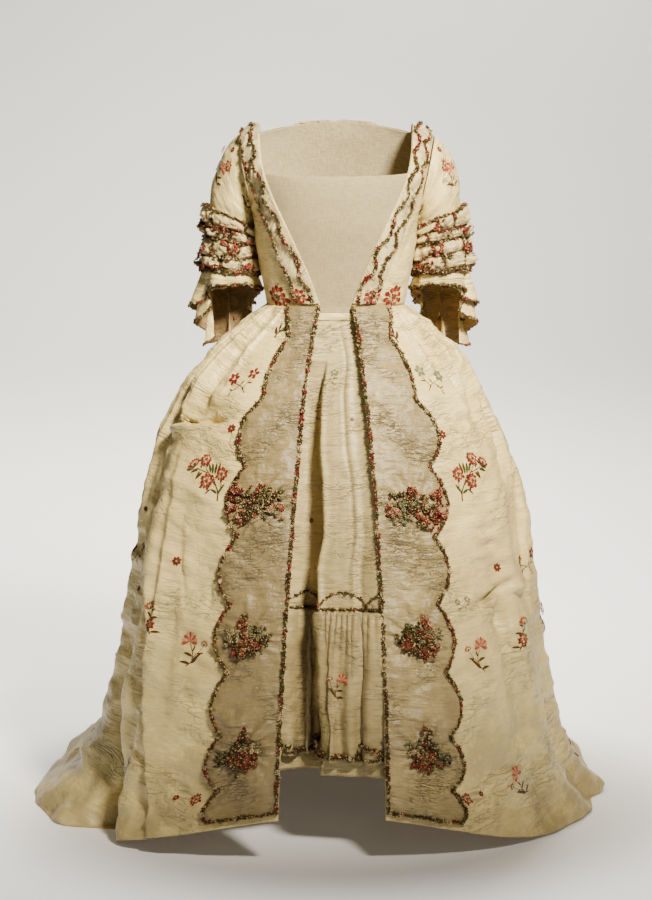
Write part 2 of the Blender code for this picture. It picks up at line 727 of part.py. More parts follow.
def sleeve_centre(at, turn):
    """The sleeve's own axis, once for each point of a ring."""
    names = ("out", "back", "height")
    return points_of(*[column(SLEEVE, name, at + 0 * turn) for name in names])


def sleeve_panel():
    """The left sleeve."""
    rows, turn = np.linspace(0, 1, 7)[:, None], ring(14)
    return Panel(rows, turn, sleeve(rows, turn), sleeve_centre(rows, turn), True)


def puff_panel(band):
    """A gathered band round the sleeve, standing out between its two stitched edges."""
    rows = np.array([0.0, 0.28, 0.72, 1.0])[:, None]
    turn = ring(4 * PUFF_WAVES)
    room = 0.18 + 0.82 * (0.5 + 0.5 * np.cos(turn)) ** 0.6  # little on the side of the body
    wave = PUFF_WAVES * turn + band.phase
    stand = PUFF_BULGE * (1 + 0.3 * np.cos(wave)) * np.sin(math.pi * rows) ** 0.7
    at = band.top + (band.foot - band.top) * rows
    at = at + 0.020 * np.sin(wave) * np.sin(math.pi * rows)
    points = sleeve(at, turn, LAYER_GAP + CLOTH + 0.0003 + stand * room)
    return Panel(rows, turn, points, sleeve_centre(at, turn), True)


def cuff_panel(cuff):
    """A falling flounce: short in the bend of the arm, long behind the elbow."""
    rows = np.array([0.0, 0.35, 0.7, 1.0])[:, None]
    turn = ring(4 * CUFF_WAVES)
    long = (0.5 + 0.5 * np.cos(turn - LONGEST_TURN)) ** 1.6
    wave = CUFF_WAVES * turn
    scallop = 0.010 * np.abs(np.sin(wave / 2)) * rows**3
    drop = (cuff.fall + cuff.extra * long) * rows + scallop * (0.4 + 0.6 * long)
    spread = (cuff.flare + 0.012 * np.cos(wave)) * rows * (0.25 + 0.75 * long)
    top = sleeve(np.array([[CUFF_TOP]]), turn, cuff.layer * (LAYER_GAP + CLOTH) + 0.0008)
    outward = points_of(np.cos(turn), np.sin(turn), 0.0)
    hanging = points_of(0.010 + 0.022 * rows, 0.012 * rows, -1.0)
    points = top + outward * spread[..., None] + hanging * drop[..., None]
    centre = points.mean(axis=1, keepdims=True) + 0 * points
    return Panel(rows, turn, points, centre, True)


# ---- petticoat ------------------------------------------------------------------------------------------
PETTICOAT_ROWS = np.array([row.at for row in PETTICOAT])
PETTICOAT_TURNS = np.concatenate([np.linspace(-0.18, 0.18, 21), np.linspace(0.23, 0.77, 11)])


def petticoat_panel():
    """The petticoat, all the way round; a turn of 0 is centre front and 0.5 centre back."""
    rows, turn = PETTICOAT_ROWS[:, None], PETTICOAT_TURNS[None, :]
    names = ("half_width", "front", "back")
    x, y = oval(2 * math.pi * turn, *[column(PETTICOAT, name, rows) for name in names])
    smooth = points_of(x, y, column(PETTICOAT, "height", rows))
    folds = fold_height(PETTICOAT_FOLDS, rows, turn)
    outward = Panel(rows, turn, smooth, closed=True).normal
    return Panel(rows, turn, smooth + outward * folds[..., None], closed=True)


def band_panel():
    """The petticoat's waistband."""
    first, turn = PETTICOAT[0], 2 * math.pi * np.linspace(0, 1, 24, endpoint=False)[None, :]
    x, y = oval(turn, first.half_width, first.front, first.back)
    height = np.array([[BAND_TOP], [BAND_FOOT]])
    return Panel([0, 1], turn, points_of(x, y, height), closed=True)


def flounce_panel(petticoat):
    """The deep gathered flounce across the petticoat's front."""
    rows = np.linspace(FLOUNCE_TOP, FLOUNCE_FOOT, 4)
    columns = np.linspace(-FLOUNCE_SPAN, FLOUNCE_SPAN, 4 * FLOUNCE_WAVES + 1)
    share = ((rows - FLOUNCE_TOP) / (FLOUNCE_FOOT - FLOUNCE_TOP))[:, None]
    wave = 0.5 + 0.5 * np.cos(2 * math.pi * FLOUNCE_WAVES * columns / (2 * FLOUNCE_SPAN))
    lift = LAYER_GAP + CLOTH + 0.0007 + (0.003 + 0.015 * share) * wave
    points, _ = petticoat.on(rows[:, None], columns[None, :], lift)
    return Panel(rows, columns, points)


# ---- stomacher ------------------------------------------------------------------------------------------
def stomacher_panel(front):
    """The stiff linen piece that fills the opening, tucked behind both fronts."""
    rows = front.points[STOMACHER_ROW:]
    tuck = rows[:, 0] + 0.55 * (rows[:, 1] - rows[:, 0])
    tables = BODICE[STOMACHER_ROW:]
    half_width = np.array([row.half_width for row in tables])[:, None]
    depth = np.array([row.front for row in tables])[:, None]
    edge = angle_at(rows[:, 0, 0], half_width[:, 0])[:, None]
    share = np.linspace(-1, 1, 9)[None, 1:-1]
    x, y = oval(edge * share, half_width, depth, depth)
    dip = STOMACHER_DIP * (1 - share**2) * np.exp(-np.arange(len(tables)) * 2.0)[:, None]
    middle = points_of(x, y, rows[:, 0, 2][:, None] - dip)
    flip = (-1, 1, 1)
    edges = [tuck * flip, rows[:, 0] * flip, tuck, rows[:, 0]]
    left_tuck, left, right_tuck, right = [edge[:, None] for edge in edges]
    points = np.concatenate([left_tuck, left, middle, right, right_tuck], axis=1)
    foot = points[-1:].copy()
    foot[..., 2] = STOMACHER_FOOT
    points = np.concatenate([points, foot])
    flat = Panel(np.arange(len(points)), np.arange(points.shape[1]), points)
    points = points - flat.normal * (CLOTH + LAYER_GAP)
    return Panel(flat.rows, flat.columns, points)


# ---- assembly --------------------------------------------------------------------------------------------
def build_bodice(silk, trim, floss, linen):
    """Bodice fronts with their robings and wavy braids, and the stomacher."""
    front = bodice_panel()
    robing = robing_panel(front)
    down = np.union1d(np.linspace(0.065, 0.975, 27), robing.rows[2:-1])
    for side in (1, -1):
        word = side_name(side)
        cloth(f"bodice_front_{word}", front.mirrored(side), silk)
        cloth(f"robing_{word}", robing.mirrored(side), trim)
        for name, middle, sway in (("inner", 0.15, 0.05), ("outer", 0.80, 0.10)):
            across = middle + sway * np.cos(2 * math.pi * BODICE_WAVES * down)
            path, normal = robing.mirrored(side).on(down, across, LAYER_GAP)
            braid(f"bodice_braid_{name}_{word}", path, normal, floss)
    cloth("stomacher", stomacher_panel(front), linen, LINEN)


def build_skirt(silk, trim, floss, posy):
    """Gown skirt, its robings, braids and posies."""
    for side in (1, -1):
        word = side_name(side)
        skirt = skirt_panel(side)
        robing = skirt_robing_panel(skirt, side)
        skirt, robing = skirt.mirrored(side), robing.mirrored(side)
        cloth(f"skirt_front_{word}", skirt, silk)
        cloth(f"skirt_robing_{word}", robing, trim)
        path, normal = robing.on(robing.rows[1:-1:2], 0.05, LAYER_GAP)
        braid(f"straight_braid_{word}", path, normal, floss)
        foot = np.array([0.88, 2 / 3, 1 / 3, 0.12])  # along the robing's lower edge
        down = np.concatenate([robing.rows[1:-1], np.full(4, robing.rows[-1] - 0.008)])
        across = np.concatenate([np.full(len(robing.rows) - 2, 0.96), foot])
        path, normal = robing.on(down, across, 1.5 * LAYER_GAP)
        braid(f"scallop_braid_{word}", path, normal, floss)
        for number, row in enumerate(POSIES, 1):
            width = skirt_robing_width(row.at, side)
            add_posy(f"posy_{number}_{word}", row, robing, width, posy)
    cloth("sack_back", sack_panel(), silk)


def add_posy(name, row, robing, robing_width, finish):
    """A bunch of floss flowers: a lobed mound that follows the robing beneath it."""
    count = 12
    turn = np.linspace(0, 2 * math.pi, count, endpoint=False)
    rings = []
    for size, lift, twist in ((1.0, 0.0, 0.0), (0.95, 0.45, 0.0), (0.55, 0.95, 1.2)):
        lobes = 1 + 0.09 * np.cos(3 * turn + row.turn) + 0.06 * np.cos(5 * turn + twist)
        lobes = lobes * size / 2
        at = row.at + lobes * np.sin(turn) * row.height / SKIRT_LENGTH
        across = row.across + lobes * np.cos(turn) * row.width / robing_width
        rings.append(robing.on(at, across, POSY_GAP + lift * POSY_THICKNESS)[0])
    for lift in (0.0, 1.0):
        point, _ = robing.on([row.at], [row.across], POSY_GAP + lift * POSY_THICKNESS)
        rings.append(point)
    base, top = 3 * count, 3 * count + 1
    faces = []
    for c in range(count):
        d = (c + 1) % count
        faces += [(base, d, c), (top, 2 * count + c, 2 * count + d)]
        for r in range(2):
            a, b = r * count + c, r * count + d
            faces += [(a, b, b + count), (a, b + count, a + count)]
    add_solid(name, np.concatenate(rings), faces, finish)


def build_sleeves(silk, floss):
    """Sleeves, each with two puffs, two falling flounces and a dark braid."""
    tube = sleeve_panel()
    for side in (1, -1):
        word = side_name(side)
        cloth(f"sleeve_{word}", tube.mirrored(side), silk)
        for band in PUFFS:
            cloth(f"puff_{band.name}_{word}", puff_panel(band).mirrored(side), silk)
        for cuff in CUFFS:
            flounce = cuff_panel(cuff).mirrored(side)
            cloth(f"cuff_flounce_{cuff.name}_{word}", flounce, silk)
        path = flounce.points[0] + 0.12 * (flounce.points[1] - flounce.points[0])
        normal = unit((flounce.normal[0] + flounce.normal[1]) * (1, 1, 0.5))
        braid(f"cuff_braid_{word}", path + 2 * LAYER_GAP * normal, normal, floss, True)


def build_petticoat(silk, floss):
    """Petticoat, its waistband and flounce, and the braid on them."""
    petticoat = petticoat_panel()
    flounce = flounce_panel(petticoat)
    cloth("petticoat", petticoat, silk)
    cloth("petticoat_band", band_panel(), silk)
    cloth("petticoat_flounce", flounce, silk)
    header = FLOUNCE_TOP - 0.014
    beneath = petticoat.columns[np.abs(petticoat.columns) < FLOUNCE_SPAN]
    braid("header_braid", *petticoat.on(header, beneath, LAYER_GAP), floss)
    turn = np.union1d(np.arange(-FLOUNCE_SPAN, FLOUNCE_SPAN, ARCH_PITCH / 6), beneath)
    arch = np.abs(np.cos(math.pi * turn / ARCH_PITCH)) ** 0.7
    at = header - 0.012 - ARCH_HEIGHT * arch
    braid("arch_braid", *petticoat.on(at, turn, LAYER_GAP), floss)
    columns = flounce.columns
    braid("flounce_braid", *flounce.on(FLOUNCE_FOOT - 0.008, columns, LAYER_GAP), floss)


def main():
    """Builds every piece of the gown and the petticoat."""
    for obj in list(bpy.data.objects):
        bpy.data.objects.remove(obj, do_unlink=True)
    silk = material("brocaded_silk", CREAM, 0.55)
    trim = material("robing_silk", TRIM_CREAM, 0.65)
    linen = material("plain_linen", LINEN_TAN, 0.85)
    floss = material("floss_braid", BRAID_BROWN, 0.9)
    posy = material("floss_posy", FLOSS_RED, 0.9)
    build_bodice(silk, trim, floss, linen)
    build_skirt(silk, trim, floss, posy)
    build_sleeves(silk, floss)
    build_petticoat(silk, floss)


main()
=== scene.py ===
"""Robe a la francaise, dressed: silk, linen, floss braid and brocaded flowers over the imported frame.

The gown and petticoat are worked out again here as fine sheets of cloth, on the same sections as
the frame's solids, with the folds, creases and gathers that the solids leave out. Every length
is in metres, and heights are taken above the floor until a mesh is made.
"""

import logging
import math
from dataclasses import dataclass, field, replace
from enum import Enum
from functools import cached_property
from typing import NamedTuple, Sequence

import bpy
import numpy as np
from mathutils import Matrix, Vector


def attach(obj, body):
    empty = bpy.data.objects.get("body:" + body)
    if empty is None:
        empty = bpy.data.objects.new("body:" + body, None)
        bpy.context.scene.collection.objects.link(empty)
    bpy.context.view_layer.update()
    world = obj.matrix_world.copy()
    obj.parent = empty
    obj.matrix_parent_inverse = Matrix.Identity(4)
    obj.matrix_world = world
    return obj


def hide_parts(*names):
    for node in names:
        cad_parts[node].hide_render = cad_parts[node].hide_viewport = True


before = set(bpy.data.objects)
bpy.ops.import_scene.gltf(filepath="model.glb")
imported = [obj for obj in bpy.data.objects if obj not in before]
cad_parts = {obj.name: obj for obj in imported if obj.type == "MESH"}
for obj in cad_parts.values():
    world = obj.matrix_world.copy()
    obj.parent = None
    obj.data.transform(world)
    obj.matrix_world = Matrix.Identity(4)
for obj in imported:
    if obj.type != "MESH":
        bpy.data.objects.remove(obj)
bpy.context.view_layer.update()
log = logging.getLogger("robe")

Array = np.ndarray
Colour = tuple[float, float, float]
Material = bpy.types.Material
Object = bpy.types.Object
Place = tuple[float, float]  # down a sheet and across it
Run = tuple[Array, Array, Array, bool]  # points, normals, tones and whether the ends join
Socket = bpy.types.NodeSocket

# ---- driving sizes, as in the frame ----
HOLD_HEIGHT = 1.318  # shoulder line above the floor
CLOTH, LINEN = 0.0012, 0.0016  # thickness of a wall
SEAM_GAP, LAYER_GAP = 0.0005, 0.0009
ROBING_GAP, RUCHE_GAP = 0.0015, 0.003
FLOOR_GAP = 0.0008
SQUARENESS = 2.4  # of the oval sections: 2 is an ellipse
SEAM_ANGLE = 140.0  # degrees from centre front to the side-back seam
FRONT_HEM_ANGLE = 52.0  # degrees from centre front to where the hem reaches the floor
FIRST_CUSP, SCALLOP_PITCH, SCALLOP_BULGE = 0.07, 0.1163, 0.027
WAIST = 0.985
BRAID_LIFT = 0.0012  # of a fly braid's middle, off the cloth that carries it
KNOT_SIZE = 0.0056  # radius of a tuft of floss
NOISE_CELLS = 64  # along each side of the noise's grid


class Side(Enum):
    """The wearer's side. Its value is the sign of X."""

    LEFT = 1
    RIGHT = -1

    @property
    def word(self) -> str:
        """The side's name, as it ends a piece's name."""
        return self.name.lower()


class Tone(Enum):
    """Floss and brocading threads, in linear colour."""

    RED = (0.15, 0.01, 0.009)
    CORAL = (0.31, 0.06, 0.028)
    PINK = (0.54, 0.24, 0.13)
    GREEN = (0.036, 0.046, 0.01)
    BROWN = (0.062, 0.027, 0.008)
    CREAM = (0.56, 0.43, 0.21)
    OLIVE = (0.095, 0.064, 0.014)
    SAGE = (0.15, 0.16, 0.07)

    @property
    def share(self) -> float:
        """Where the tone lies in the colour ramp, from 0 to 1."""
        return (list(Tone).index(self) + 0.5) / len(Tone)


# ---- small mathematics ----
def entries(text: str) -> list[list[str]]:
    """The words of each entry; entries are parted by semicolons or by the ends of lines."""
    return [entry.split() for entry in text.replace(";", "\n").splitlines() if entry.strip()]


class Table:
    """Sections of a piece from top to foot, with a smooth curve through each named column."""

    def __init__(self, text: str) -> None:
        """Reads the columns' names, then the rows. The first column says where each one lies."""
        self.names, *rows = entries(text)
        self.values = np.array(rows, float)

    def __call__(self, name: str, at: Array | float) -> Array:
        """Reads a column.

        Args:
            name: The column.
            at: Where to read it, down the piece.

        Returns:
            The values there.
        """
        keys, values = self.values[:, 0], self.values[:, self.names.index(name)]
        slopes = np.gradient(values, keys)
        at = np.clip(at, keys[0], keys[-1])
        i = np.clip(np.searchsorted(keys, at) - 1, 0, len(keys) - 2)
        span = keys[i + 1] - keys[i]
        t = (at - keys[i]) / span
        start = values[i] * (1 + 2 * t) + slopes[i] * span * t
        end = values[i + 1] * (3 - 2 * t) - slopes[i + 1] * span * (1 - t)
        return start * (1 - t) ** 2 + end * t**2

    @property
    def keys(self) -> Array:
        """Where the sections lie."""
        return self.values[:, 0]


def ease(t: Array | float) -> Array:
    """0 to 1 with a soft start and end."""
    t = np.clip(t, 0.0, 1.0)
    return t * t * (3 - 2 * t)


def unit(vectors: Array) -> Array:
    """The vectors at length 1."""
    return vectors / np.maximum(np.linalg.norm(vectors, axis=-1, keepdims=True), 1e-12)


def points_of(x: Array | float, y: Array | float, z: Array | float) -> Array:
    """One array of points from three arrays of coordinates."""
    return np.stack(np.broadcast_arrays(x, y, z), axis=-1).astype(float)


def lengths(points: Array) -> Array:
    """How far along a line each of its points lies."""
    return np.concatenate([[0], np.cumsum(np.linalg.norm(np.diff(points, axis=0), axis=1))])


def oval(
    angle: Array, half_width: Array, front: Array, back: Array, square: Array = SQUARENESS
) -> tuple[Array, Array]:
    """Plan point of a section, at an angle in radians from centre front.

    Args:
        angle: From centre front, towards the wearer's left.
        half_width: Half the section's width.
        front: Its depth in front.
        back: Its depth behind.
        square: 2 for an ellipse, more for a squarer section.

    Returns:
        The x and the y of each point.
    """
    power = 2 / square
    sine, cosine = np.sin(angle), np.cos(angle)
    depth = np.where(cosine > 0, front, back)
    return (
        half_width * np.sign(sine) * np.abs(sine) ** power,
        -depth * np.sign(cosine) * np.abs(cosine) ** power,
    )


def angle_at(x: Array, half_width: Array, square: Array = SQUARENESS) -> Array:
    """The angle from centre front at which an oval section is x wide."""
    return np.arcsin(np.clip(x / half_width, 0.0, 1.0) ** (square / 2))


def noise(x: Array, y: Array, seed: int, wrap: int = NOISE_CELLS) -> Array:
    """Smooth random heights from -1 to 1, one cell to a unit.

    Args:
        x: First coordinate, in cells.
        y: Second coordinate, in cells.
        seed: Which pattern.
        wrap: Cells after which the pattern repeats along x.

    Returns:
        The heights.
    """
    grid = np.random.default_rng(seed).uniform(-1, 1, (NOISE_CELLS, NOISE_CELLS))
    x, y = np.broadcast_arrays(x, y)
    i, j = np.floor(x).astype(int), np.floor(y).astype(int)
    u, v = ease(x - i), ease(y - j)
    left, right, upper, lower = i % wrap, (i + 1) % wrap, j % NOISE_CELLS, (j + 1) % NOISE_CELLS
    near = grid[left, upper] * (1 - u) + grid[right, upper] * u
    far = grid[left, lower] * (1 - u) + grid[right, lower] * u
    return near * (1 - v) + far * v


# ---- sheets of cloth ----
class Fold(NamedTuple):
    """A ridge that runs down a sheet, or a trough where its height is below 0."""

    across: float
    width: float
    height: float
    top: float
    foot: float
    slant: float = 0.0  # how far it drifts across, from its top to its foot
    edge: float = 1.0  # how wide its far flank is, as a share of the near one; below 0, the near one's

    @classmethod
    def each(cls, text: str) -> tuple["Fold", ...]:
        """Folds from their sizes, in the order above."""
        return tuple(cls(*map(float, sizes)) for sizes in entries(text))

    def relief(self, at: Array, across: Array) -> Array:
        """Its height at points of a sheet."""
        share = np.clip((at - self.top) / (self.foot - self.top), 0, 1)
        off = (across - self.across - self.slant * share) * (1 if self.edge > 0 else -1)
        width = self.width * np.where(off > 0, abs(self.edge), 1.0)
        return self.height * np.exp(-((off / width) ** 2)) * np.sin(math.pi * share) ** 0.6


class Crease(NamedTuple):
    """A short crease anywhere on a sheet: its middle, and its sizes in metres."""

    at: float
    across: float
    length: float
    width: float
    height: float
    turn: float  # degrees: 0 runs across, 90 runs down

    @classmethod
    def each(cls, text: str) -> tuple["Crease", ...]:
        """Creases from their sizes, in the order above."""
        return tuple(cls(*map(float, sizes)) for sizes in entries(text))


class Sheet:
    """A sheet of cloth: a grid of points, rows running down and columns running across.

    Attributes:
        rows: Where each row lies, from the sheet's top.
        columns: Where each column lies.
        points: The grid of points on the cloth's outer side.
        centre: A place inside the piece for each point, from which its outer side is told.
        closed: Whether the last column joins the first.
        flat: How far each point lies across and down the cloth before its folds, in metres.
        normal: Which way is out, at each point.
    """

    def __init__(
        self,
        rows: Array,
        columns: Array,
        points: Array,
        centre: Array | None = None,
        closed: bool = False,
        flat: tuple[Array, Array] | None = None,
    ) -> None:
        """Works out the normals and, unless they are given, the distances along the cloth."""
        self.rows, self.columns = np.ravel(rows), np.ravel(columns)
        self.points, self.closed = points, closed
        self.centre = points * (0, 0, 1) if centre is None else centre
        wide = np.concatenate([points[:, -1:], points, points[:, :1]], 1) if closed else points
        normal = unit(np.cross(np.gradient(wide, axis=1), np.gradient(wide, axis=0)))
        normal = normal[:, 1:-1] if closed else normal
        self.faces_out = np.sum(normal * (points - self.centre)) > 0
        self.normal = normal if self.faces_out else -normal
        self.flat = flat or self.distances()

    def distances(self) -> tuple[Array, Array]:
        """How far each point lies across and down the cloth, in metres."""
        across = np.linalg.norm(np.diff(self.points, axis=1), axis=2)
        down = np.linalg.norm(np.diff(self.points, axis=0), axis=2)
        return (
            np.cumsum(np.pad(across, ((0, 0), (1, 0))), axis=1),
            np.cumsum(np.pad(down, ((1, 0), (0, 0))), axis=0),
        )

    @property
    def area(self) -> float:
        """Area of the cloth, in square metres."""
        points = self.points
        if self.closed:
            points = np.concatenate([points, points[:, :1]], axis=1)
        sides = points[1:, 1:] - points[:-1, :-1], points[:-1, 1:] - points[1:, :-1]
        return float(np.linalg.norm(np.cross(*sides), axis=-1).sum() / 2)

    def read(self, grid: Array, at: Array, across: Array) -> Array:
        """A grid's values at places on the sheet, on its own triangles.

        Args:
            grid: A value or a vector at each point.
            at: Where down the sheet.
            across: Where across it.

        Returns:
            The values there.
        """
        last = len(self.rows) - 2, len(self.columns) - 2
        i = np.clip(np.searchsorted(self.rows, at, side="right") - 1, 0, last[0])
        j = np.clip(np.searchsorted(self.columns, across, side="right") - 1, 0, last[1])
        down = (at - self.rows[i]) / (self.rows[i + 1] - self.rows[i])
        along = (across - self.columns[j]) / (self.columns[j + 1] - self.columns[j])
        if grid.ndim == 3:
            down, along = down[..., None], along[..., None]
        near, beside, below, far = grid[i, j], grid[i, j + 1], grid[i + 1, j], grid[i + 1, j + 1]
        upper = near + along * (beside - near) + down * (far - beside)
        lower = near + down * (below - near) + along * (far - below)
        return np.where(along >= down, upper, lower)

    def on(self, at: Array, across: Array, lift: Array | float = 0.0) -> tuple[Array, Array]:
        """Points that lie on the cloth, moved out.

        Args:
            at: Where down the sheet.
            across: Where across it.
            lift: How far off its outer side.

        Returns:
            The points and the normals there.
        """
        at, across = np.broadcast_arrays(np.asarray(at, float), np.asarray(across, float))
        normal = unit(self.read(self.normal, at, across))
        points = self.read(self.points, at, across)
        return points + normal * np.asarray(lift, float)[..., None], normal

    def through(self, points: Array, centre: Array | None = None) -> "Sheet":
        """The same cloth, laid through other points."""
        centre = self.centre if centre is None else centre
        return Sheet(self.rows, self.columns, points, centre, self.closed, self.flat)

    def moved(self, height: Array) -> "Sheet":
        """The sheet with each point moved out by its height."""
        points = self.points + self.normal * height[..., None]
        points[..., 2] = np.maximum(points[..., 2], FLOOR_GAP + CLOTH)
        return self.through(points)

    def tightened(self, top: float, foot: float, start: float, end: float) -> "Sheet":
        """The sheet with its four edges drawn in by these distances.

        Args:
            top: For the first row.
            foot: For the last row.
            start: For the first column.
            end: For the last column.

        Returns:
            The sheet.
        """
        points = self.points.copy()
        for axis, near, far in ((0, top, foot), (1, start, end)):
            moved = np.moveaxis(points, axis, 0)
            moved[0] += near * unit(moved[1] - moved[0])
            moved[-1] += far * unit(moved[-2] - moved[-1])
        return self.through(points)

    def mirrored(self, side: Side) -> "Sheet":
        """The sheet as it is, or its mirror image for the wearer's right."""
        flip = (side.value, 1, 1)
        return self.through(self.points * flip, self.centre * flip)

    def creases(self, creases: Sequence[Crease]) -> Array:
        """Summed heights of these creases over the sheet.

        Args:
            creases: What to sum.

        Returns:
            The heights.
        """
        u, v = self.flat
        total = np.zeros(u.shape)
        for crease in creases:
            place = np.array(crease.at), np.array(crease.across)
            x, y = u - self.read(u, *place), v - self.read(v, *place)
            turn = math.radians(crease.turn)
            along = (x * math.cos(turn) + y * math.sin(turn)) / (crease.length / 2)
            aside = (y * math.cos(turn) - x * math.sin(turn)) / crease.width
            bend = 0.35 * along**2 * np.sign(crease.height)
            reach = np.clip(1 - along**2, 0, 1) ** 1.5
            total += crease.height * reach * np.exp(-(np.abs(aside + bend) ** 1.4))
        return total

    def crumple(self, size: float, height: float, stretch: float, seed: int) -> Array:
        """Small soft unevenness.

        Args:
            size: How far apart its bumps are, in metres.
            height: Their greatest height.
            stretch: How much longer they are across than down.
            seed: Which pattern.

        Returns:
            The heights over the sheet.
        """
        u, v = self.flat
        drift = 0.5 * noise(u / (3 * size), v / (3 * size), seed + 2)
        first = noise(u / (size * stretch) + 0.3 * v / size, v / size + drift, seed)
        second = noise(u / (size * stretch) * 2.3, v / size * 2.1 + 9, seed + 1)
        sharp = 0.6 - 2.2 * np.abs(first) + 0.4 * first
        return height * (0.55 * sharp + 0.45 * second)


def scattered_creases(count: int, seed: int, level: float, length: float) -> list[Crease]:
    """Small seeded creases all over a sheet.

    Args:
        count: How many.
        seed: Which set.
        level: 1 where they lie mostly across the sheet, 0 where they turn every way.
        length: Their usual length, in metres.

    Returns:
        The creases.
    """
    chance = np.random.default_rng(seed)
    made = []
    for _ in range(count):
        size = length * chance.uniform(0.5, 1.6)
        height = chance.uniform(0.0014, 0.004) * chance.choice((-1, 1))
        turn = chance.normal(0, 14) if chance.random() < level else chance.uniform(0, 180)
        place = chance.uniform(0.06, 0.95), chance.uniform(0.04, 0.96)
        made.append(Crease(*place, size, chance.uniform(0.005, 0.009), height, turn))
    return made


# ---- finishes ----
class Nodes:
    """A tree of nodes, added one call at a time."""

    def __init__(self, tree: bpy.types.NodeTree) -> None:
        """Takes the tree."""
        self.tree = tree

    def put(self, socket: Socket, value: Socket | float | tuple | None) -> None:
        """Links a socket, or sets its value.

        Args:
            socket: An input of a node.
            value: What it takes.
        """
        if isinstance(value, bpy.types.NodeSocket):
            self.tree.links.new(value, socket)
        elif isinstance(value, tuple) and socket.type == "RGBA":
            socket.default_value = (*value, 1.0)
        else:
            socket.default_value = value

    def add(self, kind: str, inputs: dict, output: int | str = 0, **settings: object) -> Socket:
        """Adds a node.

        Args:
            kind: Its type.
            inputs: Values or sockets, by input name or number.
            output: Which output is wanted.
            **settings: Properties of the node.

        Returns:
            The wanted output.
        """
        node = self.tree.nodes.new(kind)
        for name, value in settings.items():
            setattr(node, name, value)
        for key, value in inputs.items():
            self.put(node.inputs[key], value)
        return node.outputs[output]

    def maths(self, operation: str, *values: Socket | float) -> Socket:
        """One sum."""
        return self.add("ShaderNodeMath", dict(enumerate(values)), operation=operation)

    def times(self, first: Socket | float, second: Socket | float) -> Socket:
        """One value times another."""
        return self.maths("MULTIPLY", first, second)


def shade(colour: Colour, share: float) -> Colour:
    """A colour made darker, or lighter where the share is over 1."""
    return tuple(min(1.0, share * part) for part in colour)


class Shader(Nodes):
    """A Principled material's nodes, and the coordinates that they read."""

    WEAVE_PERIOD = 0.314  # of the Wave texture at scale 1

    def __init__(self, name: str) -> None:
        """Starts the material."""
        self.material = bpy.data.materials.new(name)
        self.material.use_nodes = True
        super().__init__(self.material.node_tree)
        self.surface = self.tree.nodes["Principled BSDF"]

    @cached_property
    def place(self) -> Socket:
        """Where a point is, in metres."""
        return self.add("ShaderNodeTexCoord", {}, "Object")

    @cached_property
    def cloth(self) -> Socket:
        """Where a point lies on its sheet, in metres."""
        return self.add("ShaderNodeTexCoord", {}, "UV")

    def part(self, vector: Socket, index: int) -> Socket:
        """One coordinate of a vector."""
        return self.add("ShaderNodeSeparateXYZ", {0: vector}, index)

    def total(self, *values: Socket) -> Socket:
        """The sum of several heights."""
        result = values[0]
        for value in values[1:]:
            result = self.maths("ADD", result, value)
        return result

    def stretched(self, across: float, down: float) -> Socket:
        """The cloth's own coordinates, scaled across and down it."""
        return self.add("ShaderNodeMapping", {"Vector": self.cloth, "Scale": (across, down, 1.0)})

    def noise(self, place: Socket, scale: float, detail: float = 3.0, rough: float = 0.55) -> Socket:
        """Noise from 0 to 1."""
        inputs = {"Vector": place, "Scale": scale, "Detail": detail, "Roughness": rough}
        return self.add("ShaderNodeTexNoise", inputs)

    def within(self, value: Socket, low: float, high: float, top: float = 1.0) -> Socket:
        """0 below low, top above high, and a smooth step between."""
        inputs = {"Value": value, "From Min": low, "From Max": high, "To Max": top}
        return self.add("ShaderNodeMapRange", inputs, interpolation_type="SMOOTHSTEP")

    def outside(self, value: Socket, low: float, high: float) -> Socket:
        """1 below low, 0 above high, and a smooth step between."""
        return self.maths("SUBTRACT", 1.0, self.within(value, low, high))

    def off(self, value: Socket, middle: float) -> Socket:
        """How far a value is from another."""
        return self.maths("ABSOLUTE", self.maths("SUBTRACT", value, middle))

    def mix(self, share: Socket | float, first: Socket | tuple, second: Socket | tuple) -> Socket:
        """Two colours mixed."""
        return self.add("ShaderNodeMix", {0: share, 6: first, 7: second}, 2, data_type="RGBA")

    def ribs(self, pitch: float, direction: str, distortion: float) -> Socket:
        """Fine ribs of the weave, from 0 to 1."""
        inputs = {"Vector": self.cloth, "Scale": self.WEAVE_PERIOD / pitch, "Distortion": distortion}
        inputs |= {"Detail": 1.0, "Detail Scale": 0.4}
        return self.add("ShaderNodeTexWave", inputs, bands_direction=direction)

    def done(self, colour: Socket, height: Socket, roughness: Socket | float, **extra: float) -> Material:
        """Connects colour, relief in metres and roughness, and returns the material.

        Args:
            colour: Of the surface.
            height: Its relief, in metres.
            roughness: From 0 to 1.
            **extra: Other inputs of the surface, by name.

        Returns:
            The material.
        """
        bump = self.add("ShaderNodeBump", {"Height": height, "Distance": 1.0})
        inputs = {"Base Color": colour, "Normal": bump, "Roughness": roughness}
        inputs |= {name.replace("_", " ").title(): value for name, value in extra.items()}
        for name, value in inputs.items():
            self.put(self.surface.inputs[name], value)
        return self.material


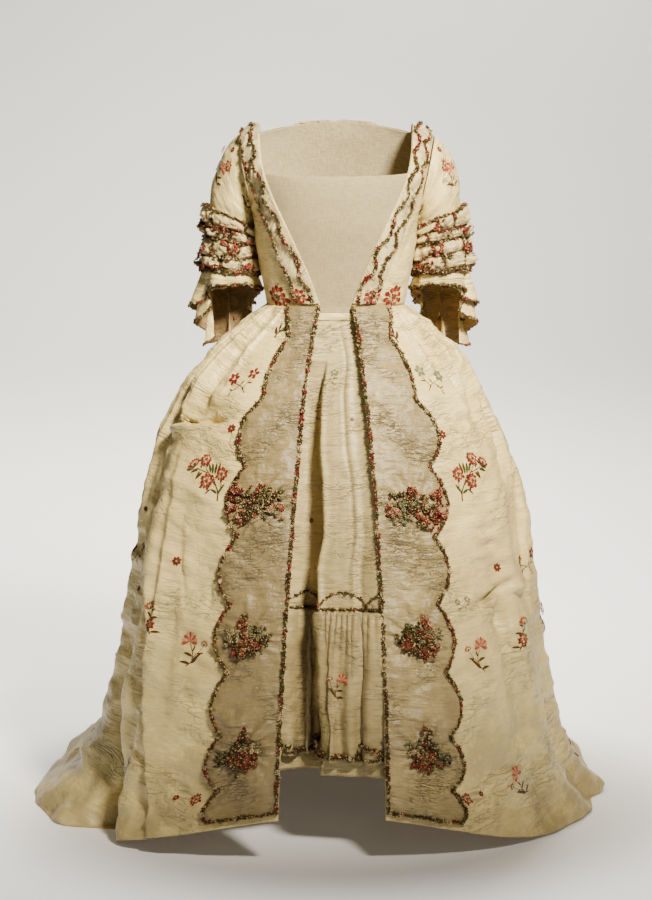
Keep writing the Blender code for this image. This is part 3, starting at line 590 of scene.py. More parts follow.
@dataclass(frozen=True)
class Silk:
    """Ribbed silk with self-coloured trails of leaves, yellowed in patches, darker below from soiling and
    painted shade, and painted darker along its creases as shade.
    """

    name: str
    colour: Colour
    warm: Colour  # its yellowed patches
    dull: Colour = (0.38, 0.29, 0.122)  # its lower part, darker from soiling and painted shade
    yellowed: float = 0.55  # how far the patches go
    figure: float = 1.0  # strength of the self-coloured trails
    pucker: float = 0.0042  # height of the wrinkles that run across
    crumple: float = 0.0048  # height of the others
    crease: float = 0.0013  # depth of the sharp lines
    fine: float = 1.0  # how many more wrinkles there are than on smooth silk
    roughness: float = 0.46
    soil: float = 0.0  # how much of the lower soiling and painted shade its upper part has too
    soiled: tuple[float, float] = (-0.45, -1.22)  # the heights between which the soiling and painted shade grow
    trail_density: float = 7.6  # trails to a metre of width
    trail_swing: tuple[float, float] = (21.0, 0.022)  # how fast and how far a trail swings
    leaves: tuple[float, float] = (110.0, 60.0)  # to a metre, across and down
    rib_pitch: float = 0.0012
    rib_height: float = 0.00005
    leaf_height: float = 0.00025

    def trails(self, shader: Shader) -> Socket:
        """Meandering trails of small leaves, from 0 to 1.

        Args:
            shader: The material's nodes.

        Returns:
            The figure.
        """
        pace, reach = self.trail_swing
        swing = shader.maths("SINE", shader.times(shader.part(shader.cloth, 1), pace))
        side = shader.maths("ADD", shader.part(shader.cloth, 0), shader.times(swing, reach))
        cell = shader.maths("FRACT", shader.times(side, self.trail_density))
        belt = shader.outside(shader.off(cell, 0.5), 0.08, 0.2)
        spots = {"Vector": shader.stretched(*self.leaves), "Scale": 1.0, "Randomness": 0.85}
        shape = shader.outside(shader.add("ShaderNodeTexVoronoi", spots), 0.3, 0.4)
        return shader.times(belt, shape)

    def lines(self, shader: Shader, across: float, down: float, thin: float) -> Socket:
        """Sharp uneven creases, from 0 to 1, that run mostly across the cloth.

        Args:
            shader: The material's nodes.
            across: How close they lie, across the cloth.
            down: How close they lie, down it.
            thin: How wide a crease is.

        Returns:
            The creases.
        """
        stretched = shader.stretched(across * self.fine, down * self.fine)
        inputs = {"Vector": stretched, "Scale": 1.0, "Detail": 2.5, "Roughness": 0.5, "Distortion": 0.6}
        wander = shader.add("ShaderNodeTexNoise", inputs)
        line = shader.outside(shader.off(wander, 0.5), 0.0, thin)
        patch = shader.within(shader.noise(shader.cloth, 9.0, 2.0), 0.44, 0.62)
        return shader.times(line, patch)

    def stained(self, shader: Shader, long: Socket, short: Socket, trails: Socket) -> Socket:
        """The colour: yellowed, darker below from soiling and painted shade, darker along its creases as
        painted shade, and pale along its trails.

        Args:
            shader: The material's nodes.
            long: The long creases.
            short: The short ones.
            trails: The figure.

        Returns:
            The colour.
        """
        patches = shader.within(shader.noise(shader.place, 5.5, 4.0), 0.4, 0.66, self.yellowed)
        stains = shader.within(shader.noise(shader.place, 21.0, 6.0, 0.7), 0.5, 0.74, 0.65)
        cloud = shader.within(shader.noise(shader.place, 9.0, 5.0, 0.65), 0.3, 0.66)
        # darker towards the hem: partly soiling, partly painted shade
        high, floor = self.soiled
        heights = {"Value": shader.part(shader.place, 2), "From Min": high, "From Max": floor}
        low = shader.add("ShaderNodeMapRange", {**heights, "To Min": self.soil})
        streaks = shader.noise(shader.stretched(40.0, 420.0), 1.0, 4.0, 0.6)
        # painted shade: the silk is darkened along its sharp creases
        crease_shade = shader.times(shader.maths("MAXIMUM", long, short), 0.62)
        colour = self.colour
        for share, other in (
            (patches, self.warm),
            (shader.times(cloud, low), self.dull),
            (shader.times(stains, low), shade(self.warm, 0.8)),
            (shader.within(streaks, 0.44, 0.68, 0.55), shade(self.warm, 0.62)),
            (crease_shade, shade(self.warm, 0.36)),
            (shader.times(trails, 0.2 * self.figure), shade(self.colour, 1.16)),
        ):
            colour = shader.mix(share, colour, other)
        return colour

    def material(self) -> Material:
        """Builds the nodes."""
        shader = Shader(self.name)
        trails = self.trails(shader)
        long, short = self.lines(shader, 9.0, 46.0, 0.022), self.lines(shader, 30.0, 95.0, 0.034)
        across = shader.noise(shader.stretched(8.0 * self.fine, 52.0 * self.fine), 1.0, 4.0)
        every = shader.noise(shader.cloth, 24.0 * self.fine, 4.0, 0.5)
        relief = shader.total(
            shader.times(across, self.pucker),
            shader.times(every, self.crumple),
            shader.times(long, -self.crease),
            shader.times(short, -0.6 * self.crease),
            shader.times(trails, self.leaf_height * self.figure),
            shader.times(shader.ribs(self.rib_pitch, "Y", 0.6), self.rib_height),
        )
        colour = self.stained(shader, long, short, trails)
        rough = shader.maths("MULTIPLY_ADD", trails, -0.12 * self.figure, self.roughness)
        return shader.done(colour, relief, rough, sheen_weight=0.06, sheen_roughness=0.4)


@dataclass(frozen=True)
class Linen:
    """Plain-woven linen, its threads uneven in colour and thickness."""

    name: str
    colour: Colour
    dark: Colour
    pitch: float = 0.0011  # from thread to thread
    threads: tuple[float, float] = (520.0, 60.0)  # streaks to a metre, beside and along a thread
    heights: tuple[float, float, float] = (0.00007, 0.00012, 0.0011)  # of weave, slubs and crumple

    def material(self) -> Material:
        """Builds the nodes."""
        shader = Shader(self.name)
        ways = self.threads, self.threads[::-1]
        warp, weft = (shader.noise(shader.stretched(*way), 1.0) for way in ways)
        slub = shader.within(shader.maths("ADD", warp, weft), 0.78, 1.22)
        cloud = shader.within(shader.noise(shader.place, 9.0, 4.0), 0.35, 0.75, 0.5)
        colour = shader.mix(slub, self.dark, self.colour)
        colour = shader.mix(cloud, colour, shade(self.colour, 0.93))
        weave = shader.maths("ADD", shader.ribs(self.pitch, "X", 1.2), shader.ribs(self.pitch, "Y", 1.2))
        forms = weave, slub, shader.noise(shader.cloth, 16.0)
        relief = shader.total(*map(shader.times, forms, self.heights))
        return shader.done(colour, relief, 0.88, sheen_weight=0.15, sheen_roughness=0.6)


@dataclass(frozen=True)
class Threads:
    """Coloured floss or brocading silk, its tone read from the attribute of that name."""

    name: str
    roughness: float
    fibre: float  # height of the fibres, in metres
    fleck: Colour = (0.42, 0.32, 0.16)  # of the strands marked as pale
    shadow: Colour = (0.1, 0.06, 0.025)  # of the mottling

    def ramp(self, shader: Shader) -> Socket:
        """The colour of each tone, read by its share.

        Args:
            shader: The material's nodes.

        Returns:
            The colour.
        """
        ramp = shader.tree.nodes.new("ShaderNodeValToRGB")
        ramp.color_ramp.interpolation = "CONSTANT"
        stops = ramp.color_ramp.elements
        for index, entry in enumerate(Tone):
            stop = stops[index] if index < 2 else stops.new(index / len(Tone))
            stop.position = index / len(Tone)
            stop.color = (*entry.value, 1.0)
        shader.put(ramp.inputs[0], self.read(shader, "tone"))
        return ramp.outputs[0]

    def read(self, shader: Shader, name: str) -> Socket:
        """An attribute of the mesh."""
        return shader.add("ShaderNodeAttribute", {}, "Fac", attribute_name=name)

    def material(self) -> Material:
        """Builds the nodes."""
        shader = Shader(self.name)
        colour = shader.mix(self.read(shader, "fleck"), self.ramp(shader), self.fleck)
        mottle = shader.within(shader.noise(shader.place, 260.0, 2.0), 0.35, 0.7, 0.35)
        colour = shader.mix(mottle, colour, self.shadow)
        relief = shader.times(shader.noise(shader.place, 900.0, 2.0), self.fibre)
        shader.put(shader.surface.inputs["Specular IOR Level"], 0.12)
        return shader.done(colour, relief, self.roughness)


RUCHED = Silk(
    "ruched_silk", (0.27, 0.197, 0.078), (0.24, 0.17, 0.062), (0.21, 0.152, 0.062),
    yellowed=0.85, figure=0.3, pucker=0.0034, crumple=0.0068, crease=0.0022, fine=1.7, soil=0.45,
)


def made(*finishes: Silk | Linen | Threads) -> Material | dict[Side, Material]:
    """A field that holds a finish's material, or one for each side, the wearer's right first."""
    if len(finishes) == 1:
        return field(default_factory=finishes[0].material)
    sides = (Side.RIGHT, Side.LEFT)
    return field(default_factory=lambda: {side: silk.material() for side, silk in zip(sides, finishes)})


@dataclass
class Wardrobe:
    """Every finish, made once."""

    silk: Material = made(Silk("ivory_silk", (0.79, 0.62, 0.245), (0.62, 0.455, 0.16)))
    # the sack silk's darker low colour is painted shade on the train, as well as soiling
    sack: Material = made(Silk("sack_silk", (0.71, 0.55, 0.215), (0.5, 0.36, 0.13), (0.17, 0.122, 0.045)))
    # two copies of the ruched silk: the darker on the wearer's right robing as painted shade, the paler on
    # the left as painted light
    ruched: dict[Side, Material] = made(
        RUCHED, replace(RUCHED, name="ruched_silk_pale", colour=(0.4, 0.297, 0.115))
    )
    ruched_pale: Material = made(
        Silk(
            "robing_silk", (0.76, 0.615, 0.29), (0.54, 0.405, 0.16),
            yellowed=0.75, figure=0.6, crease=0.0014, fine=1.4, soil=0.2,
        )
    )
    petticoat: Material = made(
        Silk("petticoat_silk", (0.52, 0.408, 0.175), (0.4, 0.292, 0.108), soil=0.3, fine=1.2)
    )
    ruffle: Material = made(
        Silk("ruffled_silk", (0.7, 0.55, 0.24), (0.42, 0.3, 0.11), figure=0.2, fine=1.8, soil=0.35)
    )
    # the flounce silk is a darker copy of the petticoat silk: painted shade, as well as soiling
    flounce: Material = made(
        Silk(
            "flounce_silk", (0.42, 0.318, 0.13), (0.28, 0.202, 0.075), (0.26, 0.19, 0.075),
            figure=0.8, pucker=0.0018, fine=1.2, soil=0.3,
        )
    )
    # the reverse is dark: partly the duller back of the silk, partly painted shade inside the flounces
    reverse: Material = made(
        Silk(
            "silk_reverse", (0.32, 0.205, 0.08), (0.22, 0.13, 0.045), (0.24, 0.15, 0.06),
            figure=0.0, roughness=0.75,
        )
    )
    linen: Material = made(Linen("plain_linen", (0.4, 0.312, 0.15), (0.29, 0.22, 0.098)))
    lining: Material = made(Linen("linen_lining", (0.46, 0.37, 0.19), (0.3, 0.23, 0.105)))
    floss: Material = made(Threads("silk_floss", 0.7, 0.0004))
    brocade: Material = made(Threads("brocading_silk", 0.45, 0.0001))


# ---- pieces ----
def given(value: dict) -> dict:
    """A dataclass field that holds this value."""
    return field(default_factory=lambda: value)


def mesh_object(name: str, points: Array, faces: list, finishes: Sequence) -> Object:
    """A mesh object from points given with heights above the floor.

    Args:
        name: The piece's name.
        points: Its points.
        faces: Its faces, as tuples of point numbers.
        finishes: Its materials.

    Returns:
        The object, in the scene.
    """
    mesh = bpy.data.meshes.new(name)
    placed = np.array(points, float).reshape(-1, 3) - (0, 0, HOLD_HEIGHT)
    mesh.from_pydata(placed.tolist(), [], faces)
    for finish in finishes:
        mesh.materials.append(finish)
    mesh.shade_smooth()
    piece = bpy.data.objects.new(name, mesh)
    bpy.context.scene.collection.objects.link(piece)
    return piece


def settle(piece: Object, slot: str, *nodes: str) -> Object:
    """Makes a finished piece ride, hides the nodes that it stands for and logs its faces.

    Args:
        piece: The piece.
        slot: Not used.
        *nodes: The nodes that it stands for, if any.

    Returns:
        The piece.
    """
    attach(piece, "root")
    if nodes:
        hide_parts(*nodes)
    log.info("%s: %d faces", piece.name, len(piece.data.polygons))
    return piece


@dataclass(frozen=True)
class Cut:
    """How a sheet was cut and how it is held."""

    flat: tuple[float, float]
    held: str
    rests_on: tuple[str, ...]
    share: float = 1.0  # of flat's width times length


def cloth(
    name: str,
    sheet: Sheet,
    outer: Material,
    inner: Material,
    slot: str = "silk",
    thickness: float = CLOTH,
    nodes: Sequence[str] | None = None,
) -> Object:
    """A cloth piece: the sheet is its outer side, and a Solidify modifier adds the wall.

    Args:
        name: The piece's name.
        sheet: Its shape.
        outer: Finish of the outer side.
        inner: Finish of the inner side.
        slot: The record's material slot.
        thickness: Of the wall.
        nodes: The nodes that it stands for, its own name if none are given.

    Returns:
        The finished piece.
    """
    rows, columns = sheet.points.shape[:2]
    wide = columns if sheet.closed else columns - 1
    r, c = np.meshgrid(np.arange(rows - 1), np.arange(wide), indexing="ij")
    after = (c + 1) % columns
    corners = [r * columns + c, r * columns + after]
    corners += [corners[1] + columns, corners[0] + columns]
    quads = np.stack(corners, axis=-1).reshape(-1, 4)
    u, v = sheet.flat
    gap = np.linalg.norm(sheet.points[:, -1] - sheet.points[:, 0], axis=1)
    u = np.column_stack([u, u[:, -1] + gap])
    v = np.column_stack([v, v[:, -1]])
    places = [(r, c), (r, c + 1), (r + 1, c + 1), (r + 1, c)]
    uv = np.stack([np.stack([u[p], -v[p]], axis=-1) for p in places], axis=2).reshape(-1, 4, 2)
    if not sheet.faces_out:
        quads, uv = quads[:, ::-1], uv[:, ::-1]
    piece = mesh_object(f"cloth_{name}", sheet.points, quads.tolist(), (outer, inner))
    layer = piece.data.uv_layers.new(name="UVMap")
    layer.data.foreach_set("uv", uv.ravel())
    wall = piece.modifiers.new("wall", "SOLIDIFY")
    wall.thickness = thickness
    wall.offset = -1
    wall.use_even_offset = False
    wall.material_offset = 1
    settle(piece, slot, *([name] if nodes is None else nodes))
    return piece


# ---- floss: what repeats along a line or over a patch ----
class FlossTree(Nodes):
    """A Geometry Nodes tree that sets a knot of floss on every point, and a cord along its edges.

    The points carry the attributes `out` and `along`, which way a knot faces and lies, and `tone`.
    """

    INPUTS = (
        ("Geometry", "NodeSocketGeometry"),
        ("Knot", "NodeSocketObject"),
        ("Size", "NodeSocketFloat"),
        ("Spread", "NodeSocketFloat"),
        ("Turn", "NodeSocketFloat"),
        ("Cord Radius", "NodeSocketFloat"),
        ("Seed", "NodeSocketInt"),
        ("Finish", "NodeSocketMaterial"),
    )

    def __init__(self) -> None:
        """Builds the tree."""
        super().__init__(bpy.data.node_groups.new("floss knots", "GeometryNodeTree"))
        for name, kind in self.INPUTS:
            self.tree.interface.new_socket(name=name, in_out="INPUT", socket_type=kind)
        face = self.tree.interface
        face.new_socket(name="Geometry", in_out="OUTPUT", socket_type="NodeSocketGeometry")
        given = self.tree.nodes.new("NodeGroupInput").outputs
        knot = self.add("GeometryNodeObjectInfo", {"Object": given["Knot"]}, "Geometry")
        low = self.maths("SUBTRACT", 1.0, given["Spread"])
        high = self.maths("ADD", 1.0, given["Spread"])
        limits = {
            2: self.maths("MULTIPLY", given["Size"], low),
            3: self.maths("MULTIPLY", given["Size"], high),
            8: given["Seed"],
        }
        size = self.add("FunctionNodeRandomValue", limits, 1)
        swing = {2: 0.0, 3: given["Turn"], 8: self.maths("ADD", given["Seed"], 1.0)}
        turn = self.add("FunctionNodeRandomValue", swing, 1)
        facing = self.add(
            "FunctionNodeAxesToRotation",
            {0: self.named("out"), 1: self.named("along")},
            primary_axis="Z",
            secondary_axis="X",
        )
        spin = self.add("FunctionNodeAxisAngleToRotation", {0: (0.0, 0.0, 1.0), 1: turn})
        turned = self.add("FunctionNodeRotateRotation", {0: facing, 1: spin}, rotation_space="LOCAL")
        knots = self.add(
            "GeometryNodeInstanceOnPoints",
            {"Points": given["Geometry"], "Instance": knot, "Rotation": turned, "Scale": size},
        )
        line = self.add("GeometryNodeMeshToCurve", {0: given["Geometry"]})
        ring = {"Resolution": 5, "Radius": given["Cord Radius"]}
        profile = self.add("GeometryNodeCurvePrimitiveCircle", ring)
        tube = {"Curve": line, "Profile Curve": profile, "Fill Caps": True}
        join = self.tree.nodes.new("GeometryNodeJoinGeometry")
        for part in (knots, self.add("GeometryNodeCurveToMesh", tube)):
            self.tree.links.new(part, join.inputs[0])
        real = self.add("GeometryNodeRealizeInstances", {0: join.outputs[0]})
        shown = {"Geometry": real, "Material": given["Finish"]}
        finished = self.add("GeometryNodeSetMaterial", shown)
        self.tree.links.new(finished, self.tree.nodes.new("NodeGroupOutput").inputs[0])

    def named(self, name: str) -> Socket:
        """A vector attribute of the points."""
        inputs = {"Name": name}
        return self.add("GeometryNodeInputNamedAttribute", inputs, data_type="FLOAT_VECTOR")


@dataclass(frozen=True)
class Knot:
    """A tuft of floss: closed spindles that spread from its middle.

    Attributes:
        strands: How many.
        width: Of a strand, as a share of its length.
        rise: How steeply they stand up, in degrees.
        pale: How many of them are pale.
        seed: For their unevenness.
    """

    strands: int
    width: float
    rise: float
    pale: int
    seed: int

    def build(self) -> Object:
        """The tuft, one metre in radius, as an object outside the scene."""
        chance = np.random.default_rng(self.seed)
        points, faces = [], []
        for strand in range(self.strands):
            turn = 2 * math.pi * (strand + chance.uniform(-0.25, 0.25)) / self.strands
            rise = math.radians(self.rise * chance.uniform(0.3, 1.5))
            length = chance.uniform(0.75, 1.1)
            flat = math.cos(rise)
            out = np.array([math.cos(turn) * flat, math.sin(turn) * flat, math.sin(rise)])
            aside = np.array([-math.sin(turn), math.cos(turn), 0.0]) * self.width
            up = np.cross(out, aside)
            middle = 0.55 * length * out
            first = len(points)
            points += [0 * out, middle + aside, middle + 0.8 * up, middle - aside, length * out]
            for a, b in ((1, 2), (2, 3), (3, 1)):
                faces += [(first, first + b, first + a), (first + 4, first + a, first + b)]
        mesh = bpy.data.meshes.new("knot")
        mesh.from_pydata([tuple(p) for p in points], [], faces)
        share = (np.arange(len(points)) // 5 % (self.strands // self.pale) == 0).astype(np.float32)
        mesh.attributes.new("fleck", "FLOAT", "POINT").data.foreach_set("value", share)
        return bpy.data.objects.new("knot", mesh)


class FlossWorker:
    """Sets floss on the cloth: braids along lines, and bunches over patches."""

    BRAID_TONES = (
        (Tone.BROWN, 0.46), (Tone.OLIVE, 0.2), (Tone.GREEN, 0.18), (Tone.CREAM, 0.1), (Tone.RED, 0.06),
    )

    def __init__(self, finish: Material) -> None:
        """Makes the tree and the tufts."""
        self.tree, self.finish = FlossTree().tree, finish
        self.fringe = Knot(8, 0.19, 42, 1, 3).build()
        self.petals = Knot(8, 0.24, 38, 1, 5).build()
        self.seed = 100

    def grow(
        self,
        name: str,
        lines: Sequence[Run],
        knot: Object,
        size: float,
        spread: float = 0.3,
        turn: float = 2 * math.pi,
        cord: float = 0.0,
    ) -> Object:
        """Grows floss on points and returns it as one plain mesh.

        Args:
            name: The piece's name.
            lines: For each run its points, normals, tones and whether its ends join; a run
                with no cord may be a loose patch.
            knot: The tuft to repeat.
            size: Radius of a tuft.
            spread: How much the radius varies.
            turn: How far a tuft may be turned about its normal.
            cord: Radius of the cord beneath, 0 for none.

        Returns:
            The piece.
        """
        places, normals, tones, alongs, edges = [], [], [], [], []
        for points, normal, tone, closed in lines:
            first, count = sum(map(len, places)), len(points)
            along = np.roll(points, -1, axis=0) - np.roll(points, 1, axis=0)
            if not closed:
                along[0], along[-1] = points[1] - points[0], points[-1] - points[-2]
            if cord:
                edges += [(first + i, first + i + 1) for i in range(count - 1)]
                edges += [(first + count - 1, first)] if closed else []
            places.append(points)
            normals.append(normal)
            tones.append(tone)
            alongs.append(unit(along))
        mesh = bpy.data.meshes.new(name)
        placed = np.concatenate(places) - (0, 0, HOLD_HEIGHT)
        mesh.from_pydata(placed.tolist(), edges, [])
        for label, vectors in (("out", normals), ("along", alongs)):
            layer = mesh.attributes.new(label, "FLOAT_VECTOR", "POINT")
            layer.data.foreach_set("vector", np.concatenate(vectors).astype(np.float32).ravel())
        layer = mesh.attributes.new("tone", "FLOAT", "POINT")
        layer.data.foreach_set("value", np.concatenate(tones).astype(np.float32))
        piece = bpy.data.objects.new(name, mesh)
        bpy.context.scene.collection.objects.link(piece)
        modifier = piece.modifiers.new("floss", "NODES")
        modifier.node_group = self.tree
        self.seed += 7
        values = (None, knot, size, spread, turn, max(cord, 1e-5), self.seed, self.finish)
        sockets = [s for s in self.tree.interface.items_tree if s.in_out == "INPUT"]
        for socket, value in zip(sockets, values):
            if value is not None:
                modifier[socket.identifier] = value
        graph = bpy.context.evaluated_depsgraph_get()
        grown = bpy.data.meshes.new_from_object(piece.evaluated_get(graph))
        piece.modifiers.clear()
        piece.data = grown
        grown.shade_smooth()
        return piece

    def tones(self, count: int, pitch: float, red_every: float = 0.014) -> Array:
        """Tones of a braid's knots: mixed browns and cream, with red in small groups.

        Args:
            count: How many knots.
            pitch: From knot to knot.
            red_every: How long the red groups are, in metres.

        Returns:
            One value for each knot.
        """
        chance = np.random.default_rng(self.seed)
        shares = np.array([share for _, share in self.BRAID_TONES])
        picked = chance.choice(len(shares), count, p=shares / shares.sum())
        values = np.array([tone.share for tone, _ in self.BRAID_TONES])[picked]
        along = np.arange(count) * pitch / red_every + chance.uniform(0, 1)
        red = noise(along, 0 * along, self.seed) > 0.56
        return np.where(red & (chance.random(count) < 0.7), Tone.RED.share, values)

    def run(
        self, sheet: Sheet, at: Array, across: Array, lift: float, pitch: float, closed: bool = False
    ) -> Run:
        """A braid's knots, evenly spaced along a line on a sheet.

        Args:
            sheet: The cloth beneath.
            at: Points of the line, down the sheet.
            across: Points of the line, across it.
            lift: How far off the cloth.
            pitch: From knot to knot.
            closed: Whether the line's ends join.

        Returns:
            A run for `grow`.
        """
        at, across = np.broadcast_arrays(np.asarray(at, float), np.asarray(across, float))
        points, _ = sheet.on(at, across)
        length = lengths(points)
        count = max(3, round(length[-1] / pitch))
        place = np.linspace(0, length[-1], count, endpoint=not closed)
        at, across = np.interp(place, length, at), np.interp(place, length, across)
        points, normal = sheet.on(at, across, lift)
        chance = np.random.default_rng(self.seed + count)
        points = points + chance.normal(0, 0.0006, points.shape)
        normal = unit(normal + chance.normal(0, 0.35, normal.shape))
        return points, normal, self.tones(count, pitch), closed

    def braid(self, name: str, runs: Sequence, *nodes: str, size: float = KNOT_SIZE) -> None:
        """A fly braid: knots of cut floss on a cord."""
        piece = self.grow(name, runs, self.fringe, size, 0.38, cord=0.0014)
        settle(piece, "floss_braid", *nodes)

    def line(
        self, name: str, sheet: Sheet, at: Array, across: Array, lift: float, pitch: float,
        *nodes: str, size: float = KNOT_SIZE,
    ) -> None:
        """A fly braid along one open line of a sheet, as `run` and `braid` make it."""
        self.braid(name, [self.run(sheet, at, across, lift, pitch)], *nodes, size=size)

    def heap(
        self, sheet: Sheet, middle: Place, heaps: Sequence[tuple], stand: float = 0.01
    ) -> list[Run]:
        """Flowers and leaves of floss heaped on a sheet.

        Args:
            sheet: The cloth beneath.
            middle: The heap's middle, down and across the sheet.
            heaps: For each part its place from the middle, its width, its height, how many
                tufts it has and its tones.
            stand: How far its crown stands off the cloth.

        Returns:
            Runs for `grow`.
        """
        u, v = sheet.flat
        column = len(sheet.columns) // 2
        here = np.array(middle[0]), np.array(middle[1])
        runs = []
        for x, y, wide, tall, count, tones in heaps:
            self.seed += 3
            chance = np.random.default_rng(self.seed)
            turn = chance.uniform(0, 2 * math.pi, count)
            outline = 1 + 0.25 * np.cos(3 * turn + self.seed) + 0.15 * np.cos(5 * turn + 2 * self.seed)
            far = outline * chance.uniform(0, 1, count) ** 0.6
            beside = sheet.read(u, *here) + x + far * np.cos(turn) * wide / 2
            below = sheet.read(v, *here) + y + far * np.sin(turn) * tall / 2
            ats = np.interp(below, v[:, column], sheet.rows)
            row = np.clip(np.searchsorted(sheet.rows, ats), 0, len(sheet.rows) - 1)
            acrosses = np.array([np.interp(a, u[i], sheet.columns) for a, i in zip(beside, row)])
            crown = (1 - 0.7 * np.clip(far, 0, 1)) * chance.uniform(0.2, 1.0, count)
            points, normal = sheet.on(ats, acrosses, 0.002 + stand * crown)
            normal = unit(normal + chance.normal(0, 0.5, normal.shape))
            clump = noise(2 * np.cos(turn) * far + 7, 2 * np.sin(turn) * far + 7, self.seed)
            order = np.clip(0.5 + 0.8 * clump + chance.normal(0, 0.25, count), 0, 0.999)
            picked = (order * len(tones)).astype(int)
            runs.append((points, normal, np.array([tone.share for tone in tones])[picked], False))
        return runs


# ---- brocaded sprigs ----
class Motif:
    """Brocaded shapes in the plane of the cloth, x across and y up from the foot, in metres."""

    BASE_LIFT, STEP = 0.00035, 0.00005

    def __init__(self) -> None:
        """Starts with nothing drawn."""
        self.places: list[Array] = []
        self.faces: list[tuple[int, ...]] = []
        self.tones: list[Array] = []
        self.lifts: list[Array] = []

    def strip(self, left: Array, right: Array, tone: Tone) -> None:
        """Fills the space between two lines.

        Args:
            left: Points of the one line.
            right: Points of the other.
            tone: Its colour.
        """
        first, count = sum(map(len, self.places)), len(left)
        self.places.append(np.concatenate([left, right]))
        self.tones.append(np.full(2 * count, tone.share))
        self.lifts.append(np.full(2 * count, self.BASE_LIFT + self.STEP * len(self.lifts)))
        for i in range(first, first + count - 1):
            self.faces.append((i, i + count, i + count + 1, i + 1))

    def petal(
        self, x: float, y: float, turn: float, length: float, width: float, tone: Tone,
        fullness: float = 1.0, bend: float = 0.0,
    ) -> None:
        """A petal or a leaf from its base outwards.

        Args:
            x: Its base, across.
            y: Its base, up.
            turn: Where it points, in degrees from straight up, clockwise.
            length: From base to tip.
            width: At its widest.
            tone: Its colour.
            fullness: Over 1 it is widest near its tip, under 1 near its base.
            bend: How far it curls by its tip, in degrees.
        """
        share = np.linspace(0.0, 1.0, 7)
        angle = np.radians(turn + bend * share)
        step = length / 6
        middle = np.stack([x + np.cumsum(np.sin(angle)) * step, y + np.cumsum(np.cos(angle)) * step], 1)
        middle -= middle[0] - (x, y)
        half = 0.5 * width * np.sin(np.pi * share**fullness) ** 0.7 + 0.0001
        aside = np.stack([np.cos(angle), -np.sin(angle)], axis=1) * half[:, None]
        self.strip(middle - aside, middle + aside, tone)

    def stem(self, points: Sequence[tuple[float, float]], width: float, tone: Tone) -> None:
        """A curved stem through these points, thinner towards its end.

        Args:
            points: From its foot up.
            width: At its foot.
            tone: Its colour.
        """
        given = np.array(points, float)
        share = np.linspace(0, len(given) - 1, 4 * len(given))
        line = np.stack([np.interp(share, range(len(given)), given[:, k]) for k in (0, 1)], axis=1)
        line[1:-1] = (line[:-2] + 2 * line[1:-1] + line[2:]) / 4
        along = unit(np.gradient(line, axis=0))
        half = 0.5 * width * np.linspace(1.0, 0.55, len(line))[:, None]
        aside = np.stack([along[:, 1], -along[:, 0]], axis=1) * half
        self.strip(line - aside, line + aside, tone)

    def carnation(self, x: float, y: float, radius: float, turn: float = 0.0) -> None:
        """A full flower: fringed petals in two rounds, with a green eye.

        Args:
            x: Its middle, across.
            y: Its middle, up.
            radius: From its middle to its edge.
            turn: How far it is turned, in degrees.
        """
        for ring, tone, size, count, width in (
            (0, Tone.RED, 1.0, 10, 0.34), (1, Tone.CORAL, 0.74, 8, 0.26), (2, Tone.CREAM, 0.5, 7, 0.22),
            (3, Tone.RED, 0.34, 6, 0.16),
        ):
            for petal in range(count):
                angle = turn + 360 * (petal + 0.37 * ring) / count
                near = (0.34, 0.22, 0.1, 0.05)[ring] * radius
                start = x + near * math.sin(math.radians(angle)), y + near * math.cos(math.radians(angle))
                length = (radius * size - near) * (0.84 + 0.22 * math.sin(2.7 * petal + ring))
                self.petal(*start, angle, length, width * radius, tone, 1.5, 12)
        for petal in range(4):
            self.petal(x, y, turn + 90 * petal, 0.16 * radius, 0.11 * radius, Tone.OLIVE)

    def fan(self, x: float, y: float, radius: float, turn: float, tone: Tone = Tone.RED) -> None:
        """A half-opened flower in its green cup.

        Args:
            x: Its foot, across.
            y: Its foot, up.
            radius: Half its width.
            turn: Degrees clockwise from straight up.
            tone: Its colour.
        """
        pale = Tone.PINK if tone is Tone.RED else Tone.CREAM
        for ring, shade, size in ((0, tone, 1.0), (1, pale, 0.68)):
            for petal in range(7 - 2 * ring):
                angle = turn + (petal - 3 + ring) * 21
                self.petal(x, y, angle, 1.5 * radius * size, 0.42 * radius, shade, 1.8)
        for angle in (-24, 0, 24):
            self.petal(x, y, turn + angle, 0.62 * radius, 0.26 * radius, Tone.GREEN, 0.8)

    def daisy(self, x: float, y: float, radius: float, petals: int, tone: Tone) -> None:
        """A small open flower with separate petals."""
        for petal in range(petals):
            self.petal(x, y, 360 * petal / petals + 12, radius, 0.55 * radius, tone, 1.4)
        for petal in range(3):
            self.petal(x, y, 120 * petal, 0.34 * radius, 0.26 * radius, Tone.CREAM)

    def leaves(self, text: str, tone: Tone, odd: Tone | None = None) -> None:
        """Slender leaves.

        Args:
            text: The place, the turn and the length of each.
            tone: Their colour.
            odd: The colour of those that turn by no multiple of 20 degrees, if another.
        """
        for leaf in entries(text):
            x, y, turn, length = map(float, leaf)
            shown = odd if odd and turn % 20 else tone
            self.petal(x, y, turn, length, 0.24 * length, shown, 0.85, 25)


